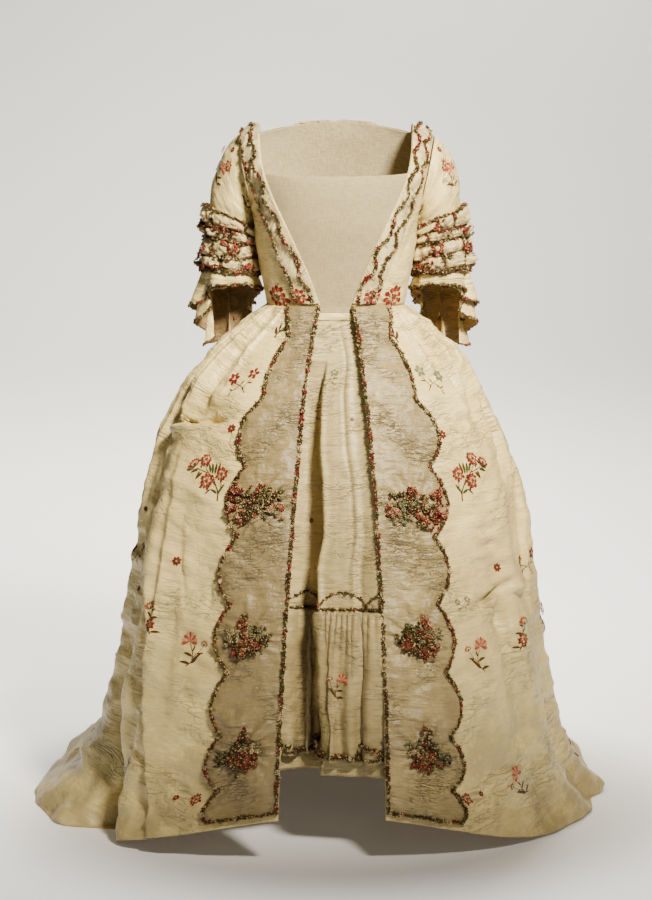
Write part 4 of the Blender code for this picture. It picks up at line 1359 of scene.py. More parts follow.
class Design(Enum):
    """The silk's ordinary sprigs."""

    CARNATIONS = "carnations"
    DAISIES = "daisies"
    SPRAY = "spray"
    BLOSSOM = "blossom"
    FADED = "faded"
    BRANCH = "branch"
    HEAD = "head"
    STALK = "stalk"

    def draw(self) -> Motif:
        """The motif at its real size, its foot at the origin."""
        motif = Motif()
        getattr(self, f"draw_{self.value}")(motif)
        return motif

    def draw_carnations(self, motif: Motif) -> None:
        """A branch with three full flowers and a half-opened one.

        Args:
            motif: What to draw on.
        """
        motif.stem([(0, 0), (0.004, 0.018), (0.013, 0.032), (0.022, 0.048)], 0.003, Tone.BROWN)
        motif.stem([(0.002, 0.012), (-0.001, 0.026), (0.001, 0.042)], 0.0022, Tone.OLIVE)
        motif.stem([(0.013, 0.03), (0.03, 0.05), (0.042, 0.062)], 0.0024, Tone.BROWN)
        motif.stem([(0.034, 0.052), (0.05, 0.056), (0.062, 0.06)], 0.002, Tone.BROWN)
        leaves = """
            0.004 0.016 -50 0.02; 0.005 0.014 50 0.018; 0.012 0.05 -20 0.021; 0.017 0.049 -8 0.022
            0.022 0.05 4 0.021; 0.027 0.052 14 0.018; 0.046 0.052 120 0.018; 0.052 0.054 140 0.017
            0.058 0.057 95 0.019; 0.02 0.022 120 0.014
            """
        motif.leaves(leaves, Tone.BROWN, Tone.GREEN)
        motif.carnation(0.001, 0.049, 0.015)
        motif.carnation(0.031, 0.037, 0.017, 20)
        motif.carnation(0.042, 0.075, 0.014, 40)
        motif.fan(0.063, 0.062, 0.0105, 30)

    def draw_branch(self, motif: Motif) -> None:
        """A full flower below a half-opened one, with dark leaves.

        Args:
            motif: What to draw on.
        """
        motif.stem([(0.012, -0.012), (0.004, 0.0), (0, 0.012), (-0.006, 0.034)], 0.0024, Tone.BROWN)
        leaves = """
            0.01 -0.008 70 0.018; 0.006 -0.002 20 0.016; -0.002 0.018 -70 0.017; 0.001 0.016 60 0.018
            -0.004 0.028 45 0.014; 0.008 -0.006 -100 0.015
            """
        motif.leaves(leaves, Tone.BROWN)
        motif.carnation(0, 0.006, 0.015)
        motif.fan(-0.007, 0.032, 0.011, -8, Tone.CORAL)

    def draw_head(self, motif: Motif) -> None:
        """One full flower alone."""
        motif.carnation(0, 0, 0.017)

    def draw_stalk(self, motif: Motif) -> None:
        """Crossing stems with slender leaves.

        Args:
            motif: What to draw on.
        """
        motif.stem([(0.002, -0.034), (0.003, -0.018), (-0.002, 0.0)], 0.0028, Tone.BROWN)
        motif.stem([(0.003, -0.02), (0.008, -0.01), (0.012, 0.0)], 0.0022, Tone.BROWN)
        motif.leaves("0.002 -0.026 -42 0.02", Tone.BROWN)
        motif.leaves("0.003 -0.022 40 0.018", Tone.GREEN)
        motif.leaves("0.003 -0.016 -28 0.017", Tone.BROWN)
        motif.leaves("0.006 -0.014 52 0.014", Tone.GREEN)

    def draw_daisies(self, motif: Motif, tone: Tone = Tone.RED, leaf: Tone = Tone.BROWN) -> None:
        """Two small open flowers on thin branching stems.

        Args:
            motif: What to draw on.
            tone: Of the flowers.
            leaf: Of the stems and leaves.
        """
        motif.stem([(0, 0), (-0.008, 0.012), (-0.02, 0.018), (-0.034, 0.022)], 0.0016, leaf)
        motif.stem([(-0.007, 0.011), (-0.001, 0.022), (0.003, 0.032)], 0.0016, leaf)
        motif.stem([(-0.016, 0.017), (-0.024, 0.01), (-0.032, 0.001)], 0.0014, leaf)
        leaves = """
            -0.022 0.013 -150 0.011; -0.028 0.006 -80 0.01; -0.031 0.002 170 0.01; -0.01 0.013 130 0.011
            -0.014 0.016 10 0.011; -0.002 0.02 70 0.011
            """
        motif.leaves(leaves, leaf)
        motif.daisy(-0.036, 0.03, 0.0125, 6, tone)
        motif.daisy(0.004, 0.04, 0.012, 5, tone)

    def draw_faded(self, motif: Motif) -> None:
        """The same two flowers in worn green and grey."""
        self.draw_daisies(motif, Tone.SAGE, Tone.OLIVE)

    def draw_spray(self, motif: Motif) -> None:
        """One open flower and a bud on a curved leafy stem.

        Args:
            motif: What to draw on.
        """
        motif.stem([(0, 0), (-0.01, 0.008), (-0.012, 0.022), (-0.002, 0.042)], 0.0022, Tone.BROWN)
        motif.stem([(-0.012, 0.016), (-0.024, 0.026), (-0.032, 0.038)], 0.0014, Tone.OLIVE)
        leaves = """
            -0.008 0.005 -58 0.024; -0.011 0.012 -72 0.022; -0.011 0.018 55 0.02; -0.009 0.026 -34 0.014
            -0.02 0.023 -100 0.014; -0.006 0.004 62 0.02
            """
        motif.leaves(leaves, Tone.BROWN)
        for petal in range(9):
            angle = -105 + 210 * petal / 8
            motif.petal(-0.001, 0.046, angle, 0.018, 0.0066, (Tone.CORAL, Tone.PINK)[petal % 2], 1.5)
        motif.fan(-0.033, 0.038, 0.006, -25, Tone.CORAL)

    def draw_blossom(self, motif: Motif) -> None:
        """One small blossom with no stem."""
        motif.daisy(0, 0, 0.009, 7, Tone.RED)
        motif.daisy(0, 0, 0.0052, 5, Tone.BROWN)


class Sprig(NamedTuple):
    """A sprig on a sheet, placed by its foot."""

    design: Design
    at: float
    across: float
    turn: float = 0.0
    size: float = 1.0
    mirror: bool = False


class Brocade:
    """All the sprigs of one piece, laid on its cloth."""

    def __init__(self, sheet: Sheet) -> None:
        """Starts with none."""
        self.sheet = sheet
        self.points: list[Array] = []
        self.faces: list[tuple[int, ...]] = []
        self.tones: list[Array] = []

    def lay(self, text: str) -> None:
        """Lays sprigs: each one's design, place, turn and size, and `mirrored` where it is."""
        for design, *sizes in entries(text):
            mirror = sizes[-1] == "mirrored"
            sizes = sizes[:-1] if mirror else sizes
            self.lay_one(Sprig(Design(design), *map(float, sizes), mirror=mirror))

    def lay_one(self, sprig: Sprig) -> None:
        """Lays one sprig: turned clockwise, scaled, and bent with the cloth.

        Args:
            sprig: Which one, and where.
        """
        motif, sheet = sprig.design.draw(), self.sheet
        plane = np.concatenate(motif.places) * sprig.size
        at, across, turn = sprig.at, sprig.across, sprig.turn
        angle = math.radians(turn)
        x = plane[:, 0] * math.cos(angle) + plane[:, 1] * math.sin(angle)
        y = plane[:, 1] * math.cos(angle) - plane[:, 0] * math.sin(angle)
        u, v = sheet.flat
        step_at, step_across = 0.01, 0.01
        at, across = np.clip(at, 0.011, 0.989), np.clip(across, *(sheet.columns[[0, -1]] + (0.011, -0.011)))
        wide = (sheet.read(u, at, across + step_across) - sheet.read(u, at, across - step_across)) / 2
        tall = (sheet.read(v, at + step_at, across) - sheet.read(v, at - step_at, across)) / 2
        left, right = (sheet.on(at, across + s * step_across)[0] for s in (-1, 1))
        _, normal = sheet.on(at, across)
        seen = np.cross(normal, right - left)[2]
        x = x * (1 if (seen > 0) != sprig.mirror else -1)
        ats = np.clip(at - y / tall * step_at, sheet.rows[0], sheet.rows[-1])
        limits = sheet.columns[[0, -1]]
        acrosses = np.clip(across + x / wide * step_across, *limits)
        placed, _ = sheet.on(ats, acrosses, np.concatenate(motif.lifts))
        first = sum(map(len, self.points))
        self.points.append(placed)
        self.tones.append(np.concatenate(motif.tones))
        order = -1 if sprig.mirror else 1
        self.faces += [tuple(first + i for i in face[::order]) for face in motif.faces]

    def repeat(self, across: tuple[float, float], at: tuple[float, float], seed: int) -> None:
        """Lays the silk's own repeat over a stretch of the sheet, in rows that alternate.

        Args:
            across: From and to, across the sheet.
            at: From and to, down the sheet.
            seed: For the small differences.
        """
        chance = np.random.default_rng(seed)
        u, v = self.sheet.flat
        cycle = (Design.CARNATIONS, Design.BLOSSOM, Design.SPRAY, Design.DAISIES, Design.FADED)
        pitch_down, pitch_across = 0.155, 0.225
        length = v[:, len(self.sheet.columns) // 2]
        y, row = length[0] + 0.1, 0
        while y < length[-1]:
            place = float(np.interp(y, length, self.sheet.rows))
            line = u[np.searchsorted(self.sheet.rows, place)]
            x = line[0] + pitch_across * (0.3 + 0.5 * (row % 2))
            while x < line[-1]:
                here = float(np.interp(x, line, self.sheet.columns))
                design = cycle[int(2 * row + round(x / pitch_across)) % len(cycle)]
                if at[0] < place < at[1] and across[0] < here < across[1]:
                    place = place + chance.normal(0, 0.006)
                    self.lay_one(Sprig(design, place, here, chance.normal(0, 12), 1.0, row % 2 == 0))
                x += pitch_across
            y += pitch_down
            row += 1

    def finish(self, name: str, finish: Material) -> None:
        """Makes the piece, its shapes turned outwards.

        Args:
            name: Of the cloth beneath.
            finish: Of the threads.
        """
        points = np.concatenate(self.points)
        piece = mesh_object(f"sprigs_{name}", points, self.faces, (finish,))
        layer = piece.data.attributes.new("tone", "FLOAT", "POINT")
        layer.data.foreach_set("value", np.concatenate(self.tones).astype(np.float32))
        settle(piece, "silk")


# ---- bodice and stomacher ----
@dataclass
class Bodice:
    """Bodice fronts, their turned-back robings with fly braid, and the stomacher between them."""

    wardrobe: Wardrobe
    floss: FlossWorker
    robing_width: tuple[float, ...] = (0.04, 0.051, 0.046)  # at the strap, chest and waist
    waves: float = 6.5  # of each braid, from the shoulder to the waist
    braids: dict[Side, tuple[tuple[str, float, float], ...]] = given(
        {
            Side.LEFT: (("inner", 0.2, -0.11), ("outer", 0.69, 0.13)),
            Side.RIGHT: (("inner", 0.25, -0.07), ("outer", 0.82, 0.08)),
        }
    )  # where each lies on the robing, and how far it swings
    sections: Table = Table(
        f"""
        at height half_width front back opening side_angle drop rise
           0   1.303 0.196 -0.064   0.1 0.1415         63.5 0.022     0
        0.06   1.316 0.202  -0.02   0.1  0.141         60.5 0.023     0
        0.12  1.3165 0.201  0.026   0.1 0.1408           61 0.023     0
         0.2   1.301 0.196  0.074   0.1   0.14         62.5 0.022     0
         0.3   1.268 0.186   0.12   0.1 0.1375           66 0.014     0
        0.41   1.228 0.176  0.149   0.1   0.13         69.5 0.006     0
        0.51   1.191 0.166  0.152   0.1  0.117           74     0     0
        0.59    1.16 0.157  0.148 0.096  0.103           91 0.003     0
        0.65   1.133 0.154  0.143 0.094   0.09          124     0  0.04
        0.74   1.095 0.149  0.131 0.092  0.072          134     0 0.016
        0.85   1.048 0.141  0.116 0.089  0.051          138     0 0.002
           1 {WAIST} 0.129  0.101 0.087 0.0275 {SEAM_ANGLE}     0     0
        """
    )
    armpit_row: int = 8
    stomacher_row: int = 5
    stomacher_foot: float = 0.962
    stomacher_dip: float = 0.004

    def point(self, at: Array | float, across: Array | float) -> Array:
        """Points of the left front: `at` runs down, `across` from the opening out.

        Args:
            at: From the shoulder, 0, to the waist, 1.
            across: From the opening, 0, to the side-back seam, 1.

        Returns:
            The points.
        """
        read = self.sections
        half_width = read("half_width", at)
        start = angle_at(read("opening", at), half_width)
        end = np.radians(read("side_angle", at))
        x, y = oval(start + (end - start) * across, half_width, read("front", at), read("back", at))
        z = read("height", at) - read("drop", at) * across
        return points_of(x, y, z + read("rise", at) * across**3)

    def front(self, seed: int) -> Sheet:
        """The left front, with the soft wrinkles of worn silk.

        Args:
            seed: For its unevenness.

        Returns:
            The front.
        """
        keys = self.sections.keys
        rows = np.union1d(np.linspace(0, 1, 96), keys)
        columns = np.linspace(0, 1, 44)
        half = SEAM_GAP / 2
        sheet = Sheet(rows, columns, self.point(rows[:, None], columns[None, :]))
        pulls = Crease.each(
            """
            0.66 0.62 0.1 0.008 -0.0022 28; 0.73 0.55 0.12 0.01 0.002 22; 0.9 0.6 0.14 0.009 -0.0022 6
            0.95 0.45 0.12 0.008 0.0018 -4; 0.82 0.75 0.1 0.009 0.002 12; 0.6 0.8 0.06 0.007 -0.0018 50
            """
        )
        relief = sheet.creases([*pulls, *scattered_creases(16, seed, 0.6, 0.06)])
        relief = relief + sheet.crumple(0.035, 0.0022, 1.8, seed)
        edge = ease(np.minimum(columns, 1 - columns) / 0.1)[None, :] * ease((1 - rows) / 0.05)[:, None]
        return sheet.moved(relief * edge).tightened(half, half, 0.0, half)

    def robing(self, front: Sheet, seed: int) -> Sheet:
        """The band turned back beside the opening, slightly puckered between its braids.

        Args:
            front: The bodice front beneath.
            seed: For its unevenness.

        Returns:
            The band.
        """
        rows, columns = np.linspace(0.04, 0.985, 150), np.linspace(0, 1, 22)
        share = np.linspace(0, 1, 60)
        edge = self.point(rows[:, None], share[None, :])
        steps = np.linalg.norm(np.diff(edge, axis=1), axis=2)
        length = np.concatenate([0 * steps[:, :1], np.cumsum(steps, axis=1)], axis=1)
        width = np.interp(rows, (0.04, 0.5, 0.985), self.robing_width)
        reach = np.array([np.interp(wide, line, share) for wide, line in zip(width, length)])
        points, _ = front.on(rows[:, None], reach[:, None] * columns, ROBING_GAP + CLOTH)
        sheet = Sheet(rows, columns, points)
        phase = math.pi * self.waves * rows[:, None]
        fullness = 0.0042 * np.sin(phase) ** 2 * np.sin(math.pi * columns) ** 1.5
        relief = sheet.crumple(0.011, 0.0034, 2.6, seed) * np.sin(math.pi * columns) ** 0.7
        return sheet.moved(np.maximum(fullness + relief, 0.0001))

    def stomacher(self) -> Sheet:
        """The linen that fills the opening, tucked behind both fronts."""
        keys = self.sections.keys
        rows = np.linspace(keys[self.stomacher_row], 1.0, 70)
        columns = np.linspace(-1.0, 1.0, 75)
        down = rows[:, None]
        half_width, depth = self.sections("half_width", down), self.sections("front", down)
        edge = angle_at(self.sections("opening", down), half_width)
        inner = np.clip(columns / 0.9, -1, 1)
        x, y = oval(edge * inner, half_width, depth, depth)
        dip = self.stomacher_dip * (1 - inner**2) * np.exp(-(down - down[0]) * 20)
        middle = points_of(x, y, self.sections("height", down) - dip)
        tuck = 0.06 * np.sign(columns) * ease((np.abs(columns) - 0.9) / 0.1)
        behind = self.point(down, np.abs(tuck)) * points_of(np.where(columns < 0, -1, 1), 1, 1)
        points = np.where((np.abs(columns) > 0.9)[None, :, None], behind, middle)
        foot = points[-1:].copy()
        foot[..., 2] = self.stomacher_foot
        more = np.linspace(0, 1, 8)[1:, None, None]
        points = np.concatenate([points, points[-1:] + (foot - points[-1:]) * more])
        rows = np.concatenate([rows, 1 + 0.06 * more[:, 0, 0]])
        sheet = Sheet(rows, columns, points, flat=(points[..., 0], -points[..., 2]))
        ripple = sheet.crumple(0.06, 0.0009, 1.0, 31)
        pinched = 0.0012 * np.exp(-(((columns - 0.1) / 0.35) ** 2)) * ease((rows - 0.9) / 0.1)[:, None]
        inside = ease((0.88 - np.abs(columns)) / 0.2)[None, :]
        return sheet.moved((ripple - pinched) * inside - LINEN + CLOTH - LAYER_GAP - CLOTH)

    def dress(self) -> None:
        """Makes the fronts, robings, braids and the stomacher."""
        finish = self.wardrobe
        for side in Side:
            word = side.word
            seed = 11 + side.value
            front = self.front(seed).mirrored(side)
            node = f"bodice_front_{word}"
            cloth(node, front, finish.silk, finish.lining)
            robing = self.robing(self.front(seed), seed + 40).mirrored(side)
            cloth(f"robing_{word}", robing, finish.ruched_pale, finish.lining, "robing_silk")
            down = np.linspace(0.058, 0.975, 260)
            for name, middle, sway in self.braids[side]:
                uneven = noise(7 * down, 0 * down, seed + round(10 * middle))
                wave = np.cos(2 * math.pi * self.waves * down + 1.1 * uneven)
                across = middle + sway * wave + 0.045 * noise(24 * down, 0 * down, seed)
                cord = f"bodice_braid_{name}_{word}"
                self.floss.line(f"fly_braid_{name}_{word}", robing, down, across, BRAID_LIFT, 0.0029, cord)
            for sheet, name, flower in (
                (front, node, "head 0.96 0.302 0 1.5"), (robing, f"robing_{word}", "head 0.955 0.7 0 1.15"),
            ):
                flowers = Brocade(sheet)
                flowers.lay(flower)
                flowers.finish(name, finish.brocade)
        linen = finish.linen
        cloth("stomacher", self.stomacher(), linen, linen, "linen", LINEN)


# ---- skirt and sack back ----
SKIRT = Table(
    """
    at front_height side_height front back centre square
       0 0.985  0.985 0.101 0.087     0  2.4
    0.05 0.945  0.946 0.128 0.115     0  2.4
    0.11 0.897  0.893 0.157 0.147     0  2.4
    0.18 0.836  0.825 0.189 0.188 0.001  2.4
    0.26 0.756  0.741 0.219 0.237 0.003  2.4
    0.35 0.661  0.645 0.247 0.292 0.007 2.38
    0.45  0.56  0.541 0.271 0.352 0.011 2.34
    0.56  0.45  0.423 0.294 0.424 0.022 2.28
    0.68 0.334  0.295 0.314 0.517 0.043  2.2
    0.79 0.235  0.181  0.33  0.62 0.076 2.12
     0.9 0.154  0.078 0.343 0.733 0.108 2.05
       1 0.096 0.0045 0.352  0.87  0.14    2
    """
)
SIDES = {
    Side.LEFT: Table(
        """
        at half_width opening robing sweep
           0 0.129 0.0275  0.06     0
        0.05 0.172  0.037 0.056     0
        0.11  0.22  0.043  0.07     0
        0.18 0.266   0.05  0.09     0
        0.26 0.303  0.058 0.102     0
        0.35  0.33  0.066 0.106     0
        0.45 0.349  0.072 0.103 0.002
        0.56 0.369  0.078 0.103 0.006
        0.68 0.393  0.083 0.113 0.015
        0.79 0.422  0.086 0.117  0.03
         0.9 0.464 0.0875 0.119  0.05
           1 0.532  0.088  0.12  0.07
        """
    ),
    Side.RIGHT: Table(
        """
        at half_width opening robing sweep
           0 0.129 0.0275  0.05     0
        0.05 0.176 0.0375 0.042     0
        0.11 0.231  0.045 0.055     0
        0.18 0.282  0.054 0.074     0
        0.26  0.32  0.061  0.09     0
        0.35 0.345  0.069 0.098     0
        0.45 0.363  0.077 0.101     0
        0.56 0.384  0.085 0.105     0
        0.68 0.413  0.092 0.102     0
        0.79  0.45  0.098 0.108 0.004
         0.9 0.508  0.101 0.108 0.012
           1 0.596  0.103 0.112 0.024
        """
    ),
}
FOLDS = {
    Side.LEFT: Fold.each(
        """
        0.33 0.04 -0.01 0.3 1.05 0.03; 0.35 0.03 -0.011 0.01 0.2 0.02; 0.41 0.04 0.012 0.28 1.05 0.03
        0.45 0.05 0.017 0.02 0.185 0.06; 0.48 0.04 -0.019 0.13 0.27 -0.06
        0.585 0.036 0.018 0.08 1.1 0.01; 0.67 0.036 -0.022 0.05 1.05 0; 0.765 0.038 0.022 0.02 1.1 0
        0.865 0.036 -0.02 0.06 1.1 0
        """
    ),
    Side.RIGHT: Fold.each(
        """
        0.345 0.03 -0.012 0.01 0.22 0.03; 0.395 0.04 0.015 0.26 1.1 0.01; 0.435 0.04 0.015 0 0.26 0.02
        0.47 0.036 -0.019 0.24 1.1 0.01; 0.52 0.038 -0.017 0.02 0.3 0.02; 0.6 0.036 0.017 0.02 0.95 0.01
        0.69 0.038 -0.02 0.06 1.05 0; 0.79 0.038 0.022 0.04 1.1 0; 0.885 0.036 -0.019 0.06 1.1 0
        """
    ),
}


def front_edge_angle(at: Array, side: Side, inset: Array | float = 0.0) -> Array:
    """The angle of the skirt's front edge, or of a line that far outside it."""
    x = SIDES[side]("opening", at) + inset
    return angle_at(x, SIDES[side]("half_width", at), SKIRT("square", at))


def skirt_smooth(at: Array, across: Array, side: Side) -> Array:
    """The left skirt front, or the right one seen in a mirror, before its folds.

    Args:
        at: Where down the skirt.
        across: From the front edge to the side-back seam.
        side: Which side's sizes to use.

    Returns:
        The points.
    """
    start = front_edge_angle(at, side)
    angle = start + (math.radians(SEAM_ANGLE) - start) * across
    centre = SKIRT("centre", at)
    front, back = SKIRT("front", at) + centre, SKIRT("back", at)
    x, y = oval(angle, SIDES[side]("half_width", at), front, back, SKIRT("square", at))
    low, high = SKIRT("front_height", at), SKIRT("side_height", at)
    z = low + (high - low) * ease(angle / math.radians(FRONT_HEM_ANGLE))
    swept = SIDES[side]("sweep", at) * np.sin(angle) ** 2
    return points_of(x, y + centre + swept, z)


@dataclass
class GownSkirt:
    """A skirt front on each side, with its ruched robing, floss braid, bunches and sprigs."""

    wardrobe: Wardrobe
    floss: FlossWorker
    rows: int = 200
    columns: int = 212
    straight_line: float = 0.022  # of the inner braid, as a share of the robing's width
    scallop_line: float = 0.972  # of the outer one
    pleats: dict[Side, tuple[Fold, ...]] = given(
        {
            Side.LEFT: Fold.each(
                """
                0.255 0.014 0.005 -0.02 0.16 0.02; 0.32 0.02 0.008 -0.02 0.24 0.04 0.3
                0.478 0.018 -0.014 0.05 0.23 -0.08 -0.4; 0.405 0.02 0.009 0 0.26 0.03
                0.565 0.02 -0.016 0.12 0.34 -0.09 -0.4; 0.53 0.018 0.011 0.02 0.36 0.02
                0.64 0.02 0.012 -0.03 0.45 0.03 0.3; 0.715 0.014 0.011 -0.03 0.6 0.02
                0.82 0.016 0.011 -0.03 0.55 0.01 0.4; 0.91 0.013 0.008 -0.03 0.5 0
                0.575 0.06 0.012 0.3 0.6 -0.06 -0.1; 0.395 0.05 0.008 0.5 1.15 0.02 0.12
                0.64 0.026 0.011 0.45 1.15 0.03 0.3; 0.73 0.02 0.01 0.3 1.15 0.02 0.4
                0.52 0.05 -0.02 0.74 1.3 0.02 0.5; 0.86 0.024 0.012 0.4 1.15 0 0.3
                """
            ),
            Side.RIGHT: Fold.each(
                """
                0.25 0.014 0.006 -0.02 0.18 0.03; 0.31 0.016 -0.007 0.02 0.2 0.05
                0.38 0.02 0.009 -0.03 0.2 0.05 0.3; 0.48 0.016 0.01 -0.03 0.26 0.04
                0.56 0.02 0.011 -0.03 0.42 0.02 0.3; 0.65 0.014 0.01 -0.03 0.5 0.02
                0.745 0.016 0.011 -0.03 0.6 0.02 0.3; 0.84 0.014 0.01 -0.03 0.55 0.01
                0.92 0.013 0.008 -0.03 0.5 0; 0.5 0.06 0.016 0.26 1.2 -0.395 0.07
                0.53 0.075 -0.095 0.6 1.4 -0.48 -0.3; 0.54 0.04 0.01 0.34 0.95 -0.14 0.15
                0.362 0.05 0.014 0.26 1.1 -0.07 0.3; 0.29 0.026 0.003 0.34 0.8 -0.06 0.5
                0.69 0.03 0.014 0.4 1.15 0.02 0.3; 0.8 0.024 0.012 0.3 1.15 0 0.3
                0.9 0.024 0.01 0.4 1.15 0 0.3
                """
            ),
        }
    )
    creases: dict[Side, tuple[Crease, ...]] = given(
        {
            Side.RIGHT: Crease.each(
                """
                0.208 0.36 0.21 0.013 -0.015 15; 0.223 0.36 0.21 0.0045 -0.033 15
                0.237 0.37 0.2 0.008 0.013 14; 0.235 0.38 0.07 0.007 0.006 30
                0.25 0.3 0.12 0.012 0.006 14; 0.285 0.24 0.09 0.008 -0.004 -24
                0.33 0.4 0.11 0.01 0.0055 24; 0.52 0.185 0.07 0.008 -0.005 88
                0.552 0.215 0.06 0.005 -0.004 2; 0.545 0.23 0.07 0.006 0.003 2
                0.64 0.18 0.09 0.008 -0.005 -6; 0.67 0.22 0.11 0.009 0.005 -4
                0.705 0.2 0.12 0.008 -0.005 3; 0.745 0.19 0.11 0.009 0.005 -5
                0.78 0.16 0.1 0.008 -0.005 4; 0.82 0.19 0.11 0.009 0.005 -8; 0.9 0.14 0.12 0.01 -0.005 6
                0.76 0.56 0.18 0.016 0.01 30; 0.8 0.6 0.18 0.016 -0.012 32; 0.86 0.56 0.2 0.018 0.012 24
                0.9 0.62 0.2 0.018 -0.012 20
                """
            ),
            Side.LEFT: Crease.each(
                """
                0.208 0.38 0.1 0.008 0.005 -3; 0.222 0.34 0.09 0.009 -0.005 -3
                0.382 0.26 0.06 0.006 -0.005 14; 0.394 0.3 0.11 0.007 0.005 12
                0.408 0.3 0.11 0.006 -0.0055 13; 0.422 0.32 0.1 0.007 0.005 10
                0.436 0.33 0.09 0.006 -0.0055 11; 0.452 0.29 0.08 0.007 0.0045 6
                0.462 0.28 0.07 0.005 -0.0045 4; 0.472 0.35 0.08 0.007 -0.0045 12
                0.505 0.31 0.15 0.006 0.0095 -12; 0.518 0.32 0.15 0.006 -0.012 -12
                0.52 0.44 0.1 0.006 0.0095 16; 0.532 0.43 0.1 0.006 -0.011 16
                0.53 0.21 0.11 0.007 0.005 -42; 0.562 0.345 0.085 0.012 -0.016 88
                0.575 0.37 0.09 0.01 0.006 80; 0.68 0.24 0.12 0.008 -0.004 -10
                0.7 0.26 0.13 0.008 0.004 8; 0.64 0.2 0.1 0.008 0.004 16; 0.77 0.3 0.18 0.012 -0.006 36
                0.85 0.36 0.2 0.014 0.007 40; 0.92 0.25 0.18 0.012 -0.006 14; 0.9 0.5 0.2 0.016 0.009 30
                """
            ),
        }
    )
    bunch_places: dict[Side, tuple[Place, ...]] = given(
        {
            Side.LEFT: ((0.366, 0.5), (0.592, 0.48), (0.805, 0.5)),
            Side.RIGHT: ((0.358, 0.52), (0.592, 0.5), (0.805, 0.5)),
        }
    )  # of the floss flowers, down and across a robing

    def front(self, side: Side) -> Sheet:
        """A skirt front, not yet mirrored for the wearer's right.

        Args:
            side: The wearer's side.

        Returns:
            The front, with its folds and creases.
        """
        rows = np.union1d(np.linspace(0, 1, self.rows), SKIRT.keys)
        columns = np.linspace(0, 1, self.columns)
        columns = columns * (0.62 + 0.38 * columns)  # closer together in front
        at, across = rows[:, None], columns[None, :]
        smooth = Sheet(rows, columns, skirt_smooth(at, across, side))
        relief = sum(fold.relief(at, across) for fold in FOLDS[side])
        pleated = smooth.moved(relief)
        fine = sum(fold.relief(at, across) for fold in self.pleats[side])
        seed = 60 + side.value
        marks = [*self.creases[side], *scattered_creases(120, seed, 0.8, 0.09)]
        fine = fine + pleated.creases(marks) + pleated.crumple(0.06, 0.0044, 2.2, seed)
        fine = fine + pleated.crumple(0.024, 0.0022, 2.4, seed + 9)
        seam = ease((1 - across) / 0.05) * (0.25 + 0.75 * ease(across / 0.2))
        sheet = pleated.moved(fine * seam * ease((at + 0.01) / 0.03))
        half = SEAM_GAP / 2
        return sheet.tightened(half, 0.0, 0.0, half)

    def robing_width(self, at: Array, side: Side) -> Array:
        """Width of a skirt robing, scallops included."""
        wave = np.abs(np.sin(math.pi * (at - FIRST_CUSP) / SCALLOP_PITCH)) ** 0.8
        below = 0.35 + 0.65 * ease((at - FIRST_CUSP - 0.9 * SCALLOP_PITCH) / 0.04)
        return SIDES[side]("robing", at) + SCALLOP_BULGE * wave * below

    def robing(self, skirt: Sheet, side: Side) -> Sheet:
        """The wide ruched band: straight inside, scalloped outside, drawn up in puckers.

        Args:
            skirt: The skirt front beneath.
            side: The wearer's side.

        Returns:
            The band, not yet mirrored.
        """
        rows = FIRST_CUSP + SCALLOP_PITCH / 6 * np.linspace(-3.5, 47, 601)
        columns = np.linspace(0, 1, 26)
        start = front_edge_angle(rows, side)
        end = front_edge_angle(rows, side, self.robing_width(rows, side))
        reach = (end - start) / (math.radians(SEAM_ANGLE) - start)
        points, _ = skirt.on(rows[:, None], reach[:, None] * columns, RUCHE_GAP + CLOTH)
        plain = Sheet(rows, columns, points)
        u, v = plain.flat
        v = v[:, :1] + 0 * v
        sheet = Sheet(rows, columns, points, flat=(u, v))
        seed = 80 + side.value
        drift = 1.6 * noise(u / 0.045, v / 0.04, seed)
        strength = 0.5 + 0.5 * noise(u / 0.07 + 9, v / 0.06, seed + 4)
        long = noise(u / 0.055, v / 0.015 + drift, seed + 1)
        pucker = noise(u / 0.02 + 5, v / 0.007 + drift, seed + 2)
        puff = 0.5 + 0.5 * noise(u / 0.045 + 3, v / 0.038, seed + 3)
        height = (0.0036 * (1 - 1.8 * np.abs(long)) + 0.0016 * pucker) * strength + 0.0052 * puff
        for place in self.bunch_places[side]:
            x, y = (grid - sheet.read(grid, *map(np.array, place)) for grid in (u, v))
            far, turn = np.hypot(x, y), np.arctan2(y, x)
            rays = 1 - 1.9 * np.abs(noise(9 * turn / math.pi + 20, far / 0.05, seed + 5))
            height = height + 0.006 * rays * np.exp(-(((far - 0.046) / 0.024) ** 2))
        marks = scattered_creases(110, seed, 0.75, 0.05)
        edge = np.sin(math.pi * np.clip(columns, 0.02, 0.98)) ** 0.5
        top = 0.35 + 0.65 * ease((rows - 0.1) / 0.08)
        return sheet.moved(np.maximum(height + 0.8 * sheet.creases(marks), 0.0002) * edge * top[:, None])

    def dress(self) -> None:
        """Makes both fronts and what is sewn on them."""
        finish = self.wardrobe
        for side in Side:
            word = side.word
            skirt = self.front(side)
            robing = self.robing(skirt, side).mirrored(side)
            skirt = skirt.mirrored(side)
            node = f"skirt_front_{word}"
            cloth(node, skirt, finish.silk, finish.lining)
            cloth(f"skirt_robing_{word}", robing, finish.ruched[side], finish.lining, "robing_silk")
            down = np.linspace(robing.rows[0] + 0.001, robing.rows[-1] - 0.006, 300)
            foot = np.linspace(0.96, 0.07, 40)
            below = np.concatenate([down, np.full(len(foot), down[-1])])
            scallops = np.concatenate([np.full(len(down), self.scallop_line), foot])
            for name, at, across in (("straight", down, self.straight_line), ("scallop", below, scallops)):
                part, cord = f"fly_braid_{name}_{word}", f"{name}_braid_{word}"
                self.floss.line(part, robing, at, across, BRAID_LIFT, 0.0031, cord)
            self.bunches(robing, side)
            self.sprigs(skirt, side)

